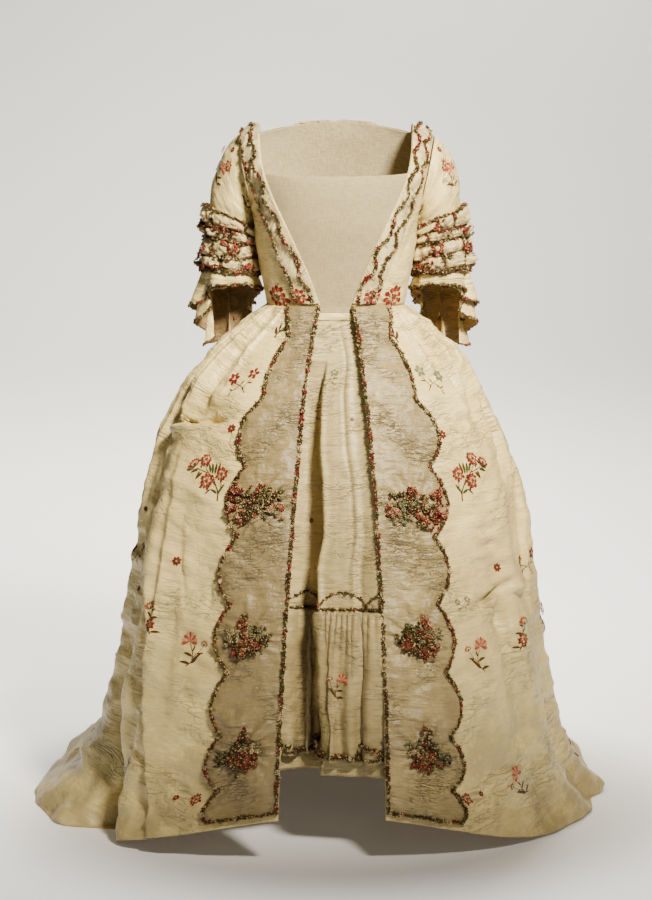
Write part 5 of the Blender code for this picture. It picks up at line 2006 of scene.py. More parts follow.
    def bunches(self, robing: Sheet, side: Side) -> None:
        """The three bunches of floss flowers on a robing.

        Args:
            robing: The band beneath.
            side: The wearer's side.
        """
        dark = (Tone.BROWN, Tone.GREEN, Tone.OLIVE, Tone.BROWN, Tone.GREEN, Tone.SAGE)
        mixed = (Tone.BROWN, Tone.RED, Tone.GREEN, Tone.CREAM, Tone.OLIVE, Tone.CORAL)
        pale = (Tone.SAGE, Tone.CREAM, Tone.PINK, Tone.SAGE)
        red = (Tone.RED, Tone.RED, Tone.CORAL)
        wide = (
            (-0.012, 0.000, 0.07, 0.046, 120, dark), (0.006, 0.006, 0.06, 0.05, 90, mixed),
            (-0.03, 0.02, 0.05, 0.034, 45, pale), (0.04, -0.016, 0.024, 0.024, 34, red),
            (0.042, 0.016, 0.024, 0.026, 30, (Tone.CORAL, Tone.PINK, Tone.RED)),
            (-0.042, 0.014, 0.02, 0.02, 20, red), (-0.004, -0.018, 0.024, 0.02, 24, red),
            (0.02, 0.03, 0.04, 0.024, 30, mixed),
        )
        tall = (
            (-0.004, 0.006, 0.062, 0.05, 110, dark), (0.004, 0.01, 0.05, 0.044, 80, mixed),
            (0.006, -0.026, 0.022, 0.03, 30, mixed), (0.028, -0.004, 0.03, 0.024, 28, pale),
            (-0.02, 0.014, 0.024, 0.02, 24, red), (0.01, 0.024, 0.044, 0.02, 34, red),
            (-0.034, 0.006, 0.024, 0.016, 18, dark), (0.000, 0.002, 0.02, 0.018, 22, red),
        )
        for number, middle in enumerate(self.bunch_places[side], 1):
            heaps = wide if number == 1 else tall
            flip = -1 if number == 3 else 1
            parts = [(flip * x, y, *rest) for x, y, *rest in heaps]
            runs = self.floss.heap(robing, middle, parts)
            name = f"floss_flowers_{number}_{side.word}"
            piece = self.floss.grow(name, runs, self.floss.petals, KNOT_SIZE, 0.35)
            settle(piece, "floss_posy", f"posy_{number}_{side.word}")

    def sprigs(self, skirt: Sheet, side: Side) -> None:
        """Brocaded sprigs, listed one by one in front and laid by the silk's repeat elsewhere.

        Args:
            skirt: The skirt front.
            side: The wearer's side.
        """
        placed = {
            Side.RIGHT: """
                stalk 0.035 0.185; daisies 0.176 0.185; blossom 0.236 0.194
                carnations 0.357 0.194 mirrored; blossom 0.462 0.299; branch 0.578 0.346
                spray 0.638 0.227 mirrored; head 0.899 0.142 0 0.8; blossom 0.889 0.18 0 0.7
                faded 0.864 0.327; blossom 0.533 0.536 0 0.7; blossom 0.392 0.559 0 0.6
                faded 0.94 0.7 0 0.6; daisies 0.7 0.62 20 0.9
                """,
            Side.LEFT: """
                stalk 0.045 0.185 mirrored; faded 0.171 0.218 mirrored; blossom 0.246 0.213
                carnations 0.357 0.237; blossom 0.477 0.355; faded 0.543 0.209 0 0.5; spray 0.648 0.246
                branch 0.612 0.4 mirrored; spray 0.889 0.313 -30; head 0.9 0.152 0 0.8
                blossom 0.884 0.187 0 0.7; faded 0.765 0.53 0 0.5; faded 0.86 0.46 0 0.5
                """,
        }
        brocade = Brocade(skirt)
        brocade.lay(placed[side])
        brocade.repeat((0.55, 0.97), (0.12, 0.97), 30 + side.value)
        brocade.finish(f"skirt_front_{side.word}", self.wardrobe.brocade)


@dataclass
class SackBack:
    """The back: two stitched box pleats that hang from the neck and open into the train."""

    wardrobe: Wardrobe
    bodice: Bodice
    rows: int = 190
    armhole: float = 0.12  # where its edge leaves the armhole
    waist: float = 0.3  # where its edge passes the waist
    pleat_step: float = 0.0026  # from one layer of a stitched pleat to the next
    centre: Table = Table(
        """
        at depth height open swell
           0 0.088  1.322    0     0
        0.06 0.104   1.27 0.02     0
        0.12 0.124  1.205 0.08 0.006
         0.2  0.15   1.11  0.2 0.018
         0.3  0.18  0.995 0.38  0.03
         0.4 0.226  0.852 0.58  0.04
        0.51 0.298  0.665 0.78 0.048
        0.62 0.392   0.48 0.92 0.052
        0.73 0.518    0.3    1 0.052
        0.84  0.69   0.13    1 0.044
        0.93  0.88  0.022    1  0.02
           1  1.03 0.0045    1 0.008
        """
    )
    pleats: Table = Table(
        """
        edge across layer crest
         0     0 0    0
         1 0.024 0 0.03
         2 0.024 1  0.1
         3 0.004 1 0.24
         4 0.004 2 0.42
         5 0.032 2 0.62
         6 0.032 3  0.8
         7 0.012 3 0.93
         8 0.012 4    1
         9 0.068 4 0.98
        10 0.068 3 0.88
        11 0.048 3 0.72
        12 0.048 2 0.54
        13 0.078 2 0.36
        14 0.078 1 0.21
        15 0.058 1  0.1
        16 0.058 0 0.03
        17 0.112 0    0
        18 0.181 0    0
        """
    )
    stretches: tuple[int, ...] = (5, 2, 5, 3, 6, 2, 5, 2, 12, 2, 5, 2, 7, 2, 5, 2, 12, 16)

    def edge(self, at: Array, side: Side) -> Array:
        """The sack's left edge: the armhole, then the bodice seam, then the skirt seam.

        Args:
            at: Where down the piece.
            side: The wearer's side.

        Returns:
            The points.
        """
        armpit = self.bodice.sections.keys[self.bodice.armpit_row]
        top, foot = self.bodice.point(np.array([0.0, armpit]), 1.0)
        share = np.clip(at / self.armhole, 0, 1)[:, None]
        armhole = top + (foot - top) * share + np.array([0.004, 0.084, 0.0]) * share * (1 - share)
        down = np.clip((at - self.armhole) / (self.waist - self.armhole), 0, 1)
        seam = self.bodice.point(armpit + (1 - armpit) * down, 1.0)
        low = skirt_smooth(np.clip((at - self.waist) / (1 - self.waist), 0, 1), 1.0, side)
        edge = np.where((at < self.armhole)[:, None], armhole, seam)
        return np.where((at > self.waist)[:, None], low, edge)

    def neck_line(self, x: Array) -> Array:
        """The back neckline, which goes on as the straps' back ends.

        Args:
            x: How far from centre back.

        Returns:
            The points.
        """
        strap = self.bodice.point(0.0, np.linspace(0, 1, 9))
        inner, depth, height = strap[0], self.centre("depth", 0.0), self.centre("height", 0.0)
        share = np.clip(x / inner[0], 0, 1)
        y = depth + (inner[1] - depth) * share**2.2
        z = height + (inner[2] - height) * share**2
        on_strap = x > inner[0]
        y = np.where(on_strap, np.interp(x, strap[:, 0], strap[:, 1]), y)
        return points_of(x, y, np.where(on_strap, np.interp(x, strap[:, 0], strap[:, 2]), z))

    def base(self, at: Array, across: Array, side: Side) -> Array:
        """The sack without its pleats, on the left of centre back.

        Args:
            at: Where down the piece.
            across: From centre back, 0, to the seam, 1.
            side: The wearer's side.

        Returns:
            The points.
        """
        edge = self.edge(np.ravel(at), side)[:, None, :]
        depth, height = self.centre("depth", at), self.centre("height", at)
        x = edge[..., 0] * across
        y = edge[..., 1] + (depth - edge[..., 1]) * (1 - np.abs(across) ** 2.5)
        z = edge[..., 2] + (height - edge[..., 2]) * (1 - across**2)
        base = points_of(x, y, z)
        near_neck = np.clip(1 - at / 0.08, 0, 1)[..., None]
        return base + (self.neck_line(x) - points_of(x, y, z)) * near_neck

    def half(self, rows: Array, side: Side) -> Array:
        """One half of the sack back, from centre back to the side-back seam.

        Args:
            rows: Where each row lies.
            side: The wearer's side.

        Returns:
            The grid of points.
        """
        at = rows[:, None]
        opened, swell = self.centre("open", at), self.centre("swell", at)
        edges = self.pleats.keys
        place = [np.linspace(k, k + 1, n, endpoint=False) for k, n in enumerate(self.stretches)]
        place = np.append(np.concatenate(place), edges[-1])[None, :]
        spread = place / edges[-1]
        values = {n: self.pleats.values[:, i] for i, n in enumerate(self.pleats.names)}
        flat = np.interp(place, edges, values["across"]) / values["across"][-1]
        layer = np.interp(place, edges, values["layer"])
        crest = self.pleats("crest", place)
        across = flat + (spread - flat) * opened
        smooth = Sheet(rows, spread, self.base(at, spread, side))
        _, outward = smooth.on(at, across)
        lift = self.pleat_step * layer * (1 - opened) + swell * crest
        return self.base(at, across, side) + outward * lift[..., None]

    def sheet(self) -> Sheet:
        """The whole sack back, with the softer folds of its train."""
        armpit = self.bodice.sections.keys[self.bodice.armpit_row]
        seam = self.bodice.sections.keys[self.bodice.armpit_row :]
        seam = self.armhole + (self.waist - self.armhole) * (seam - armpit) / (1 - armpit)
        below = self.waist + (1 - self.waist) * SKIRT.keys
        rows = np.unique(np.round([*np.linspace(0, 1, self.rows), *seam, *below, 0.05], 6))
        left = self.half(rows, Side.LEFT)
        right = self.half(rows, Side.RIGHT) * (-1, 1, 1)
        middle = (left[:, :1] + right[:, :1]) / 2
        points = np.concatenate([right[:, :0:-1], middle, left[:, 1:]], axis=1)
        columns = np.linspace(-1, 1, points.shape[1])
        plain = Sheet(rows, columns, points)
        at, across = rows[:, None], columns[None, :]
        folds = Fold.each(
            """
            -0.9 0.03 0.012 0.26 1.2 -0.02; -0.78 0.034 -0.012 0.3 1.2 -0.02
            -0.64 0.04 0.012 0.45 1.25 -0.05; -0.44 0.03 -0.01 0.48 1.2 0.05
            -0.24 0.028 0.012 0.5 1.25 0.04; -0.1 0.024 -0.012 0.45 1.2 -0.03
            0.07 0.026 0.013 0.48 1.25 0.05; 0.2 0.026 -0.01 0.52 1.2 0.02
            0.36 0.032 0.012 0.5 1.25 -0.04; 0.52 0.03 -0.01 0.46 1.2 0.05
            0.68 0.036 0.012 0.36 1.25 0.03; 0.8 0.03 -0.012 0.28 1.2 0.02
            0.91 0.028 0.012 0.26 1.2 0.02
            """
        )
        relief = sum(fold.relief(at, across) for fold in folds)
        marks = scattered_creases(110, 71, 0.6, 0.13)
        fade = ease((at - 0.22) / 0.2)
        relief = relief + (plain.creases(marks) + plain.crumple(0.07, 0.003, 1.6, 73)) * fade
        across_train = plain.crumple(0.045, 0.0035, 3.0, 77) * ease((at - 0.84) / 0.08)
        seam = ease((1 - np.abs(across)) / 0.04)
        sheet = plain.moved((relief + across_train + plain.crumple(0.02, 0.0007, 1.5, 79)) * seam)
        half = SEAM_GAP / 2
        return sheet.tightened(2 * SEAM_GAP, 0.0, half, half)

    def lining(self) -> Sheet:
        """The fitted linen inside the back, from the neck to the waist."""
        at, across = np.linspace(0.003, 0.285, 44)[:, None], np.linspace(-0.93, 0.93, 72)[None, :]
        points = self.base(at, np.abs(across), Side.LEFT)
        points = points * points_of(np.sign(across) + (across == 0), 1, 1)
        sheet = Sheet(at, across, points)
        return sheet.moved(sheet.crumple(0.06, 0.0012, 1.0, 75) - 0.0045)

    def dress(self) -> None:
        """Makes the back, its lining and its sprigs."""
        linen = self.wardrobe.lining
        cloth("back_lining", self.lining(), linen, linen, "linen", CLOTH, ())
        sheet = self.sheet()
        cloth("sack_back", sheet, self.wardrobe.sack, self.wardrobe.lining)
        brocade = Brocade(sheet)
        brocade.repeat((-0.96, 0.96), (0.26, 0.98), 37)
        brocade.repeat((-0.96, -0.66), (0.04, 0.26), 38)
        brocade.repeat((0.66, 0.96), (0.04, 0.26), 39)
        brocade.finish("sack_back", self.wardrobe.brocade)


# ---- sleeves ----
class Band(NamedTuple):
    """A ruffled band round the sleeve, as shares of the sleeve's length."""

    name: str
    top: float
    foot: float
    phase: float


class Cuff(NamedTuple):
    """A falling flounce of the sleeve."""

    name: str
    fall: float  # in the bend of the arm
    extra: float  # more of it behind the elbow
    layer: int  # layers of cloth beneath its gathered edge
    flare: float


@dataclass
class Sleeve:
    """The sleeves with their two ruffled bands, two falling flounces and floss edges."""

    wardrobe: Wardrobe
    floss: FlossWorker
    sections: Table = Table(
        """
        at out back height lean reach depth
           0  0.169 -0.002 1.226 78  0.071   0.06
        0.14 0.1795 -0.002 1.211 64  0.063 0.0585
         0.3 0.1885 -0.001 1.184 46  0.052 0.0545
         0.5 0.1925  0.003 1.143 24  0.045   0.05
        0.75 0.1935  0.009 1.095 10 0.0425  0.048
           1 0.1975  0.018 1.035  7  0.044  0.049
        """
    )
    bands: tuple[Band, ...] = (Band("upper", 0.49, 0.715, 0.4), Band("lower", 0.715, 0.945, 2.1))
    cuffs: tuple[Cuff, ...] = (
        Cuff("lower", 0.02, 0.122, 1, 0.004),
        Cuff("upper", 0.018, 0.076, 2, 0.013),
    )
    bulge: float = 0.0205  # how far a puff stands out
    puffs: int = 7  # in each round
    cuff_waves: int = 6
    cuff_top: float = 0.955
    longest: float = math.radians(58)  # where a flounce is longest: outside, towards the back

    def point(self, at: Array | float, turn: Array, out: Array | float = 0.0) -> Array:
        """Points of the left sleeve, moved out from its cloth. A turn of 0 is its outer side.

        Args:
            at: From the shoulder, 0, to the elbow, 1.
            turn: In radians.
            out: How far off the cloth.

        Returns:
            The points.
        """
        read = self.sections
        lean = np.radians(read("lean", at))
        wide = (read("reach", at) + out) * np.cos(turn)
        deep = (read("depth", at) + out) * np.sin(turn)
        x, z = read("out", at) + wide * np.cos(lean), read("height", at) + wide * np.sin(lean)
        return points_of(x, read("back", at) + deep, z)

    def axis(self, at: Array, turn: Array) -> Array:
        """The sleeve's own axis, once for each point of a ring."""
        return points_of(*[self.sections(name, at + 0 * turn) for name in ("out", "back", "height")])

    def ring(self, count: int) -> Array:
        """Angles round the sleeve."""
        return np.linspace(0, 2 * math.pi, count, endpoint=False)[None, :]

    def tube(self, seed: int) -> Sheet:
        """The sleeve, with the pulls of a worn arm.

        Args:
            seed: For its unevenness.

        Returns:
            The sleeve.
        """
        at, turn = np.linspace(0, 1, 84)[:, None], self.ring(120)
        sheet = Sheet(at, turn, self.point(at, turn), self.axis(at, turn), True)
        cell = 60 / (2 * math.pi)
        pulls = noise(turn * cell / 10 + 3 * at, at * 9, seed, 6)
        small = noise(turn * cell / 4, at * 22, seed + 1, 15)
        diagonal = noise(turn * cell / 15 + 2 * at, at * 5 + 2, seed + 2, 4)
        relief = 0.0028 * pulls + 0.001 * small + 0.004 * diagonal
        return sheet.moved(relief * ease(at / 0.1) * ease((1 - at) / 0.06))

    def pinches(self, turn: Array, tier: Array | int, seed: int) -> Array:
        """Counts the puffs of a round from turn 0; a puff is pinched in at each whole number."""
        place = turn / (2 * math.pi)
        uneven = noise(place * self.puffs, 3.3 * tier + 0.5 + 0 * turn, seed, self.puffs)
        return self.puffs * place + 0.5 * tier + 0.55 * uneven

    def middle(self, turn: Array, seed: int) -> Array:
        """Where a band's two rounds of puffs meet, as a share of its height."""
        return 0.5 + 0.13 * noise(turn / (2 * math.pi) * self.puffs, 0 * turn, seed + 8, self.puffs)

    def ruffle(self, band: Band, seed: int) -> Sheet:
        """A band drawn up into two rounds of puffs, each pinched in all about.

        Args:
            band: Which band.
            seed: For its unevenness.

        Returns:
            The band.
        """
        rows, turn = np.linspace(0, 1, 44)[:, None], self.ring(288)
        room = 0.34 + 0.66 * (0.5 + 0.5 * np.cos(turn + 0.6)) ** 0.8  # little on the body's side
        place, middle = turn / (2 * math.pi), self.middle(turn, seed)
        tier = (rows > middle).astype(int)
        level = np.where(tier > 0, 0.5 + 0.5 * (rows - middle) / (1 - middle), 0.5 * rows / middle)
        cell = np.abs(np.sin(math.pi * self.pinches(turn, tier, seed)))
        dome = cell**0.42 * np.abs(np.sin(2 * math.pi * level)) ** 0.45
        uneven = 0.78 + 0.3 * noise(place * self.puffs, 2 * tier + 1, seed + 1, self.puffs)
        flutes = noise(place * 60, rows * 5, seed + 2, 60)
        flutes = flutes + 0.6 * noise(place * 30, rows * 14, seed + 3, 30)
        stand = room * dome * (self.bulge * uneven + 0.0052 * flutes)
        sag = (0.14 * dome + 0.05 * noise(place * 14, rows * 3, seed + 4, 14)) * np.sin(math.pi * rows)
        at = band.top + (band.foot - band.top) * (rows + sag)
        out = LAYER_GAP + CLOTH + 0.0005 + np.maximum(stand, 0.0004)
        return Sheet(rows, turn, self.point(at, turn, out), self.axis(at, turn), True)

    def flounce(self, cuff: Cuff, seed: int) -> Sheet:
        """A falling flounce with deep soft waves and a scalloped foot.

        Args:
            cuff: Which flounce.
            seed: For its unevenness.

        Returns:
            The flounce.
        """
        rows, turn = np.linspace(0, 1, 46)[:, None], self.ring(216)
        long = (0.5 + 0.5 * np.cos(turn - self.longest)) ** 1.6
        cell = 1 / (2 * math.pi)
        drift = 0.9 * noise(turn * cell * 6, rows * 0.8, seed, 6)
        wave = self.cuff_waves * turn + drift
        scallop = 0.01 * np.abs(np.sin(self.cuff_waves * turn / 2)) * rows**3
        small = 0.0022 * np.abs(np.sin(self.cuff_waves * 4 * turn)) * rows**6
        drop = (cuff.fall + cuff.extra * long) * rows + (scallop + small) * (0.4 + 0.6 * long)
        second = 0.0045 * np.cos(2.0 * self.cuff_waves * turn + 2 * drift + seed)
        gather = 0.0016 * np.cos(9 * self.cuff_waves * turn) * (1 - rows) ** 2
        reach = (cuff.flare + 0.017 * np.cos(wave) + 1.4 * second) * rows**0.8 * (0.3 + 0.7 * long)
        lift = cuff.layer * (LAYER_GAP + CLOTH) + 0.0008
        top = self.point(np.array([[self.cuff_top]]), turn, lift)
        outward = points_of(np.cos(turn), np.sin(turn), 0.0)
        sideways = points_of(-np.sin(turn), np.cos(turn), 0.0)
        hanging = points_of(0.01 + 0.022 * rows, 0.012 * rows, -1.0)
        swing = 0.016 * np.sin(wave) * rows * (0.3 + 0.7 * long)
        points = top + outward * (reach + np.maximum(gather, 0) * 0.5)[..., None]
        points = points + hanging * drop[..., None] + sideways * swing[..., None]
        centre = points.mean(axis=1, keepdims=True) + 0 * points
        sheet = Sheet(rows, turn, points, centre, True)
        crumple = sheet.crumple(0.018, 0.0011, 1.0, seed + 3) * rows * (turn < 6.1)
        return sheet.moved(crumple * ease(turn / 0.2) * ease((6.08 - turn) / 0.2))

    def rim(self, sheet: Sheet, row: int = -1, pitch: float = 0.0036) -> tuple:
        """A run of floss along one ring of a closed sheet.

        Args:
            sheet: A closed sheet.
            row: Which ring.
            pitch: From knot to knot.

        Returns:
            A run for `grow`.
        """
        points, normal = sheet.points[row], sheet.normal[row]
        wide = np.concatenate([points, points[:1]])
        length = lengths(wide)
        count = round(length[-1] / pitch)
        place = np.linspace(0, length[-1], count, endpoint=False)
        normals = np.concatenate([normal, normal[:1]])
        points = np.stack([np.interp(place, length, wide[:, k]) for k in range(3)], axis=1)
        out = unit(np.stack([np.interp(place, length, normals[:, k]) for k in range(3)], axis=1))
        return points + 0.0006 * out, out, self.floss.tones(count, pitch), True

    def dress(self) -> None:
        """Makes both sleeves."""
        finish = self.wardrobe
        for side in Side:
            word = side.word
            seed = 200 + 20 * side.value
            tube = self.tube(seed).mirrored(side)
            node = f"sleeve_{word}"
            cloth(node, tube, finish.silk, finish.lining)
            brocade = Brocade(tube)
            brocade.lay(
                """
                head 0.16 5.35 0 0.7; spray 0.33 5.55 0 0.7; blossom 0.06 5.6 0 0.7
                daisies 0.3 2.3 20 0.8; spray 0.26 3.9 -20 0.7; carnations 0.34 0.7 0 0.8
                """
            )
            brocade.finish(f"sleeve_{word}", finish.brocade)
            for band in self.bands:
                self.gathered(band, side, seed)
            for cuff in self.cuffs:
                falling = self.flounce(cuff, seed + cuff.layer).mirrored(side)
                name = f"cuff_flounce_{cuff.name}_{word}"
                cloth(name, falling, finish.silk, finish.reverse)
                edge = self.rim(falling)
                self.floss.braid(f"fly_edge_{cuff.name}_{word}", [edge], size=0.004)
            top = self.flounce(self.cuffs[-1], seed + self.cuffs[-1].layer).mirrored(side)
            run = self.rim(top, 5, 0.003)
            lifted = run[0] + run[1] * 0.003
            double = [(lifted, *run[1:]), (lifted + (0, 0, 0.0042), *run[1:])]
            self.floss.braid(f"fly_braid_cuff_{word}", double, f"cuff_braid_{word}", size=0.006)

    def gathered(self, band: Band, side: Side, seed: int) -> None:
        """A band of puffs, with floss winding between them and bunched on some.

        Args:
            band: Which band.
            side: The wearer's side.
            seed: For its unevenness.
        """
        finish = self.wardrobe
        seed += 5 if band.name == "upper" else 9
        ruffle = self.ruffle(band, seed).mirrored(side)
        node = f"puff_{band.name}_{side.word}"
        cloth(node, ruffle, finish.ruffle, finish.lining)
        turn = np.linspace(0.01, 6.24, 600)
        sway = noise(turn * 2.2, 0 * turn, seed + 6)
        middle = self.middle(turn, seed)
        lines = [(0.03 + 0.02 * sway, turn), (middle + 0.02 * sway, turn), (0.96 + 0.02 * sway, turn)]
        for tier, (near, far) in enumerate(((0.05, -0.04), (0.04, 0.93))):
            pinched = np.flatnonzero(np.diff(np.floor(self.pinches(turn, tier, seed))))
            for k in pinched:
                ends = (middle[k] + near, far) if tier else (near, middle[k] + far)
                down = np.linspace(*ends, 12)
                lines.append((down, turn[k] + 0.08 * noise(down * 7, 0 * down + k, seed)))
        runs = [self.floss.run(ruffle, down, across, 0.0022, 0.0032) for down, across in lines]
        self.floss.braid(f"fly_edge_{band.name}_band_{side.word}", runs, size=0.0062)
        bunch = (
            (0.000, 0.000, 0.024, 0.02, 24, (Tone.RED, Tone.RED, Tone.CORAL)),
            (0.004, 0.006, 0.03, 0.018, 18, (Tone.BROWN, Tone.GREEN, Tone.CREAM)),
        )
        places = [(0.3, 5.75), (0.72, 5.2), (0.28, 4.55), (0.74, 4.00), (0.7, 0.2), (0.3, 1.1), (0.72, 2.0)]
        heaps = [self.floss.heap(ruffle, place, bunch, 0.004) for place in places]
        runs = [run for heap in heaps for run in heap]
        name = f"floss_filling_{band.name}_{side.word}"
        settle(self.floss.grow(name, runs, self.floss.petals, 0.006, 0.4), "floss_posy")


# ---- petticoat ----
@dataclass
class Petticoat:
    """The petticoat, its band, gathered flounce, arches of braid and floss garland."""

    wardrobe: Wardrobe
    floss: FlossWorker
    rows: int = 150
    band_top: float = 0.9735
    band_foot: float = 0.96
    flounce_top: float = 0.628  # shares of the petticoat's length
    flounce_foot: float = 0.965
    flounce_span: float = 0.17  # share of the way round, each side of centre front
    arch_width: float = 0.0835
    arch_middle: float = 0.012  # of the arch nearest centre front
    arch_height: float = 0.028  # share of the petticoat's length
    sections: Table = Table(
        """
        at height half_width front back
           0 0.9595  0.13 0.102 0.088
        0.04   0.93 0.158 0.114 0.104
        0.11   0.88 0.202 0.137 0.131
        0.21  0.798 0.246 0.166 0.165
        0.33  0.695 0.284 0.196   0.2
        0.48  0.568 0.305 0.223  0.23
        0.63  0.444 0.316 0.244 0.255
        0.82  0.292 0.323 0.261 0.275
           1  0.152 0.328 0.273  0.29
        """
    )
    folds: tuple[Fold, ...] = Fold.each(
        """
        0.004 0.011 0.014 0.06 1.3 0.002; -0.05 0.018 -0.012 0.1 1.2 0; 0.031 0.018 0.044 0.03 1.3 0
        0.11 0.026 0.01 0.05 1.2 0; -0.13 0.026 0.01 0.05 1.2 0; 0.2 0.028 -0.012 0.05 1.2 0
        -0.21 0.028 -0.012 0.05 1.2 0
        """
    )
    fine_folds: tuple[Fold, ...] = Fold.each(
        """
        -0.0128 0.03 -0.07 0.1 1.4 0.0005 0.06; -0.008 0.0024 0.006 0.14 1.25 0
        -0.033 0.016 -0.03 0.1 1.4 0; 0.0052 0.0012 -0.0035 -0.05 0.62 0.0045
        0.011 0.0036 0.0045 0.02 0.8 0.002; 0.015 0.0022 -0.006 0.36 1.15 0.003
        0.03 0.008 0.006 0.2 1.2 0; 0.062 0.01 -0.008 -0.03 0.9 0.004; 0.085 0.01 0.008 -0.03 1.1 0.004
        0.145 0.01 -0.008 -0.03 1.1 0.004; 0.172 0.01 0.008 -0.03 1.1 0.004
        0.235 0.012 0.009 -0.03 1.15 0; 0.275 0.012 -0.008 -0.03 1.15 0; 0.32 0.012 0.009 -0.03 1.15 0
        0.365 0.012 -0.008 -0.03 1.15 0; 0.41 0.012 0.009 -0.03 1.15 0; 0.455 0.012 -0.008 -0.03 1.15 0
        -0.07 0.01 0.008 -0.03 1.1 0; -0.095 0.01 -0.008 -0.03 1.1 0; -0.16 0.01 0.008 -0.03 1.1 0
        -0.19 0.01 -0.007 -0.03 1.1 0; -0.25 0.012 0.009 -0.03 1.15 0; -0.29 0.012 -0.008 -0.03 1.15 0
        -0.335 0.012 0.009 -0.03 1.15 0; -0.38 0.012 -0.008 -0.03 1.15 0
        -0.425 0.012 0.009 -0.03 1.15 0; -0.465 0.012 -0.008 -0.03 1.15 0
        """
    )

    def turn_at(self, x: Array, at: Array | float) -> Array:
        """How far round centre front a place x across lies, as a share of the whole way."""
        half_width = self.sections("half_width", at)
        return np.sign(x) * angle_at(np.abs(x), half_width) / (2 * math.pi)

    def skirt(self) -> Sheet:
        """The petticoat, all the way round from centre back; a turn of 0 is centre front."""
        rows = np.union1d(np.linspace(0, 1, self.rows), self.sections.keys)[:, None]
        near = np.sign(np.linspace(-1, 1, 121)) * 0.12 * np.abs(np.linspace(-1, 1, 121)) ** 1.5
        turn = np.concatenate([np.linspace(-0.5, -0.125, 46), near, np.linspace(0.125, 0.494, 45)])
        turn = np.unique(turn)[None, :]
        names = ("half_width", "front", "back")
        sizes = [self.sections(name, rows) for name in names]
        x, y = oval(2 * math.pi * turn, *sizes)
        smooth = Sheet(rows, turn, points_of(x, y, self.sections("height", rows)), closed=True)
        pleated = smooth.moved(sum(fold.relief(rows, turn) for fold in self.folds))
        swayed = turn + 0.0036 * noise(rows * 11, 0 * turn, 57) * np.exp(-((turn / 0.03) ** 2))
        fine = sum(fold.relief(rows, swayed) for fold in self.fine_folds)
        marks = Crease.each(
            """
            0.235 0.028 0.1 0.008 0.003 12; 0.26 0.036 0.08 0.008 -0.0025 30
            0.345 0.004 0.05 0.006 -0.0025 20; 0.425 0.012 0.07 0.006 0.0025 -8
            0.52 0.02 0.06 0.006 -0.0025 4; 0.55 -0.004 0.08 0.006 0.0028 24
            0.1 0.03 0.06 0.008 -0.003 48; 0.13 0.045 0.08 0.008 0.003 50
            """
        )
        relief = fine + pleated.creases([*marks, *scattered_creases(60, 51, 0.7, 0.08)])
        relief = relief + pleated.crumple(0.04, 0.0017, 1.4, 52) + pleated.crumple(0.018, 0.0007, 1.4, 53)
        seam = ease((0.5 - np.abs(turn)) / 0.02) * ease(rows / 0.03)
        return pleated.moved(relief * seam)

    def band(self) -> Sheet:
        """The waistband."""
        turn = np.linspace(-0.5, 0.5, 160, endpoint=False)[None, :]
        names = ("half_width", "front", "back")
        x, y = oval(2 * math.pi * turn, *[self.sections(name, 0.0) for name in names])
        rows = np.linspace(0, 1, 7)[:, None]
        height = self.band_top + (self.band_foot - self.band_top) * rows
        sheet = Sheet(rows, turn, points_of(x, y, height), closed=True)
        return sheet.moved(0.0005 * np.sin(math.pi * rows) * (1 + 0.4 * np.cos(90 * math.pi * turn)))

    def flounce(self, skirt: Sheet) -> Sheet:
        """The deep gathered flounce, its many gathers running into a few broad folds.

        Args:
            skirt: The petticoat beneath.

        Returns:
            The flounce.
        """
        rows = np.linspace(self.flounce_top, self.flounce_foot, 76)
        down = ((rows - rows[0]) / (rows[-1] - rows[0]))[:, None]
        x = np.linspace(-0.262, 0.262, 390)
        turn = np.array([self.turn_at(x, at) for at in rows])
        turn = np.clip(turn, -self.flounce_span, self.flounce_span)
        u = x[None, :] + 0.004 * noise(x[None, :] / 0.05, 3 * down, 91)
        gathers = np.abs(np.sin(math.pi * (u / 0.0105 + 0.35 * noise(x[None, :] / 0.03, 0 * down, 92))))
        reach = np.exp(-down * 4.0) * ease(down / 0.03)
        long = 0.5 + 0.5 * noise(x[None, :] / 0.016 + 3, down * 1.2, 93)
        broad = 0.5 + 0.5 * np.cos(2 * math.pi * (u + 0.004) / 0.0345 + 0.9 * noise(u / 0.07, down, 94))
        lift = 0.0015 + 0.0048 * gathers * reach + 0.01 * long * down**0.6 * (1.1 - 0.5 * down)
        lift = lift + (0.003 + 0.0125 * down) * broad * ease(down / 0.25)
        header = 0.0016 * (1 - ease(down / 0.035)) * np.abs(np.sin(math.pi * u / 0.0052))
        points, _ = skirt.on(rows[:, None], turn, LAYER_GAP + CLOTH + 0.0007 + lift + header)
        sheet = Sheet(rows, x, points)
        return sheet.moved(sheet.crumple(0.022, 0.0008, 0.6, 95) * ease(down / 0.2))

    def header(self, skirt: Sheet) -> None:
        """The straight braid over the flounce and the arches above it.

        Args:
            skirt: The petticoat beneath.
        """
        at = self.flounce_top - 0.007
        x = np.linspace(-0.235, 0.235, 400)
        lift, pitch, size = 0.0014, 0.0034, 0.004
        turn = self.turn_at(x, at)
        self.floss.line("fly_braid_header", skirt, at, turn, lift, pitch, "header_braid", size=size)
        share = (x - self.arch_middle) / self.arch_width
        rise = np.abs(np.cos(math.pi * share)) ** 0.62
        over = at - 0.004 - (self.arch_height + 0.004) * rise
        turn = self.turn_at(x, over)
        self.floss.line("fly_braid_arches", skirt, over, turn, lift, pitch, "arch_braid", size=size)

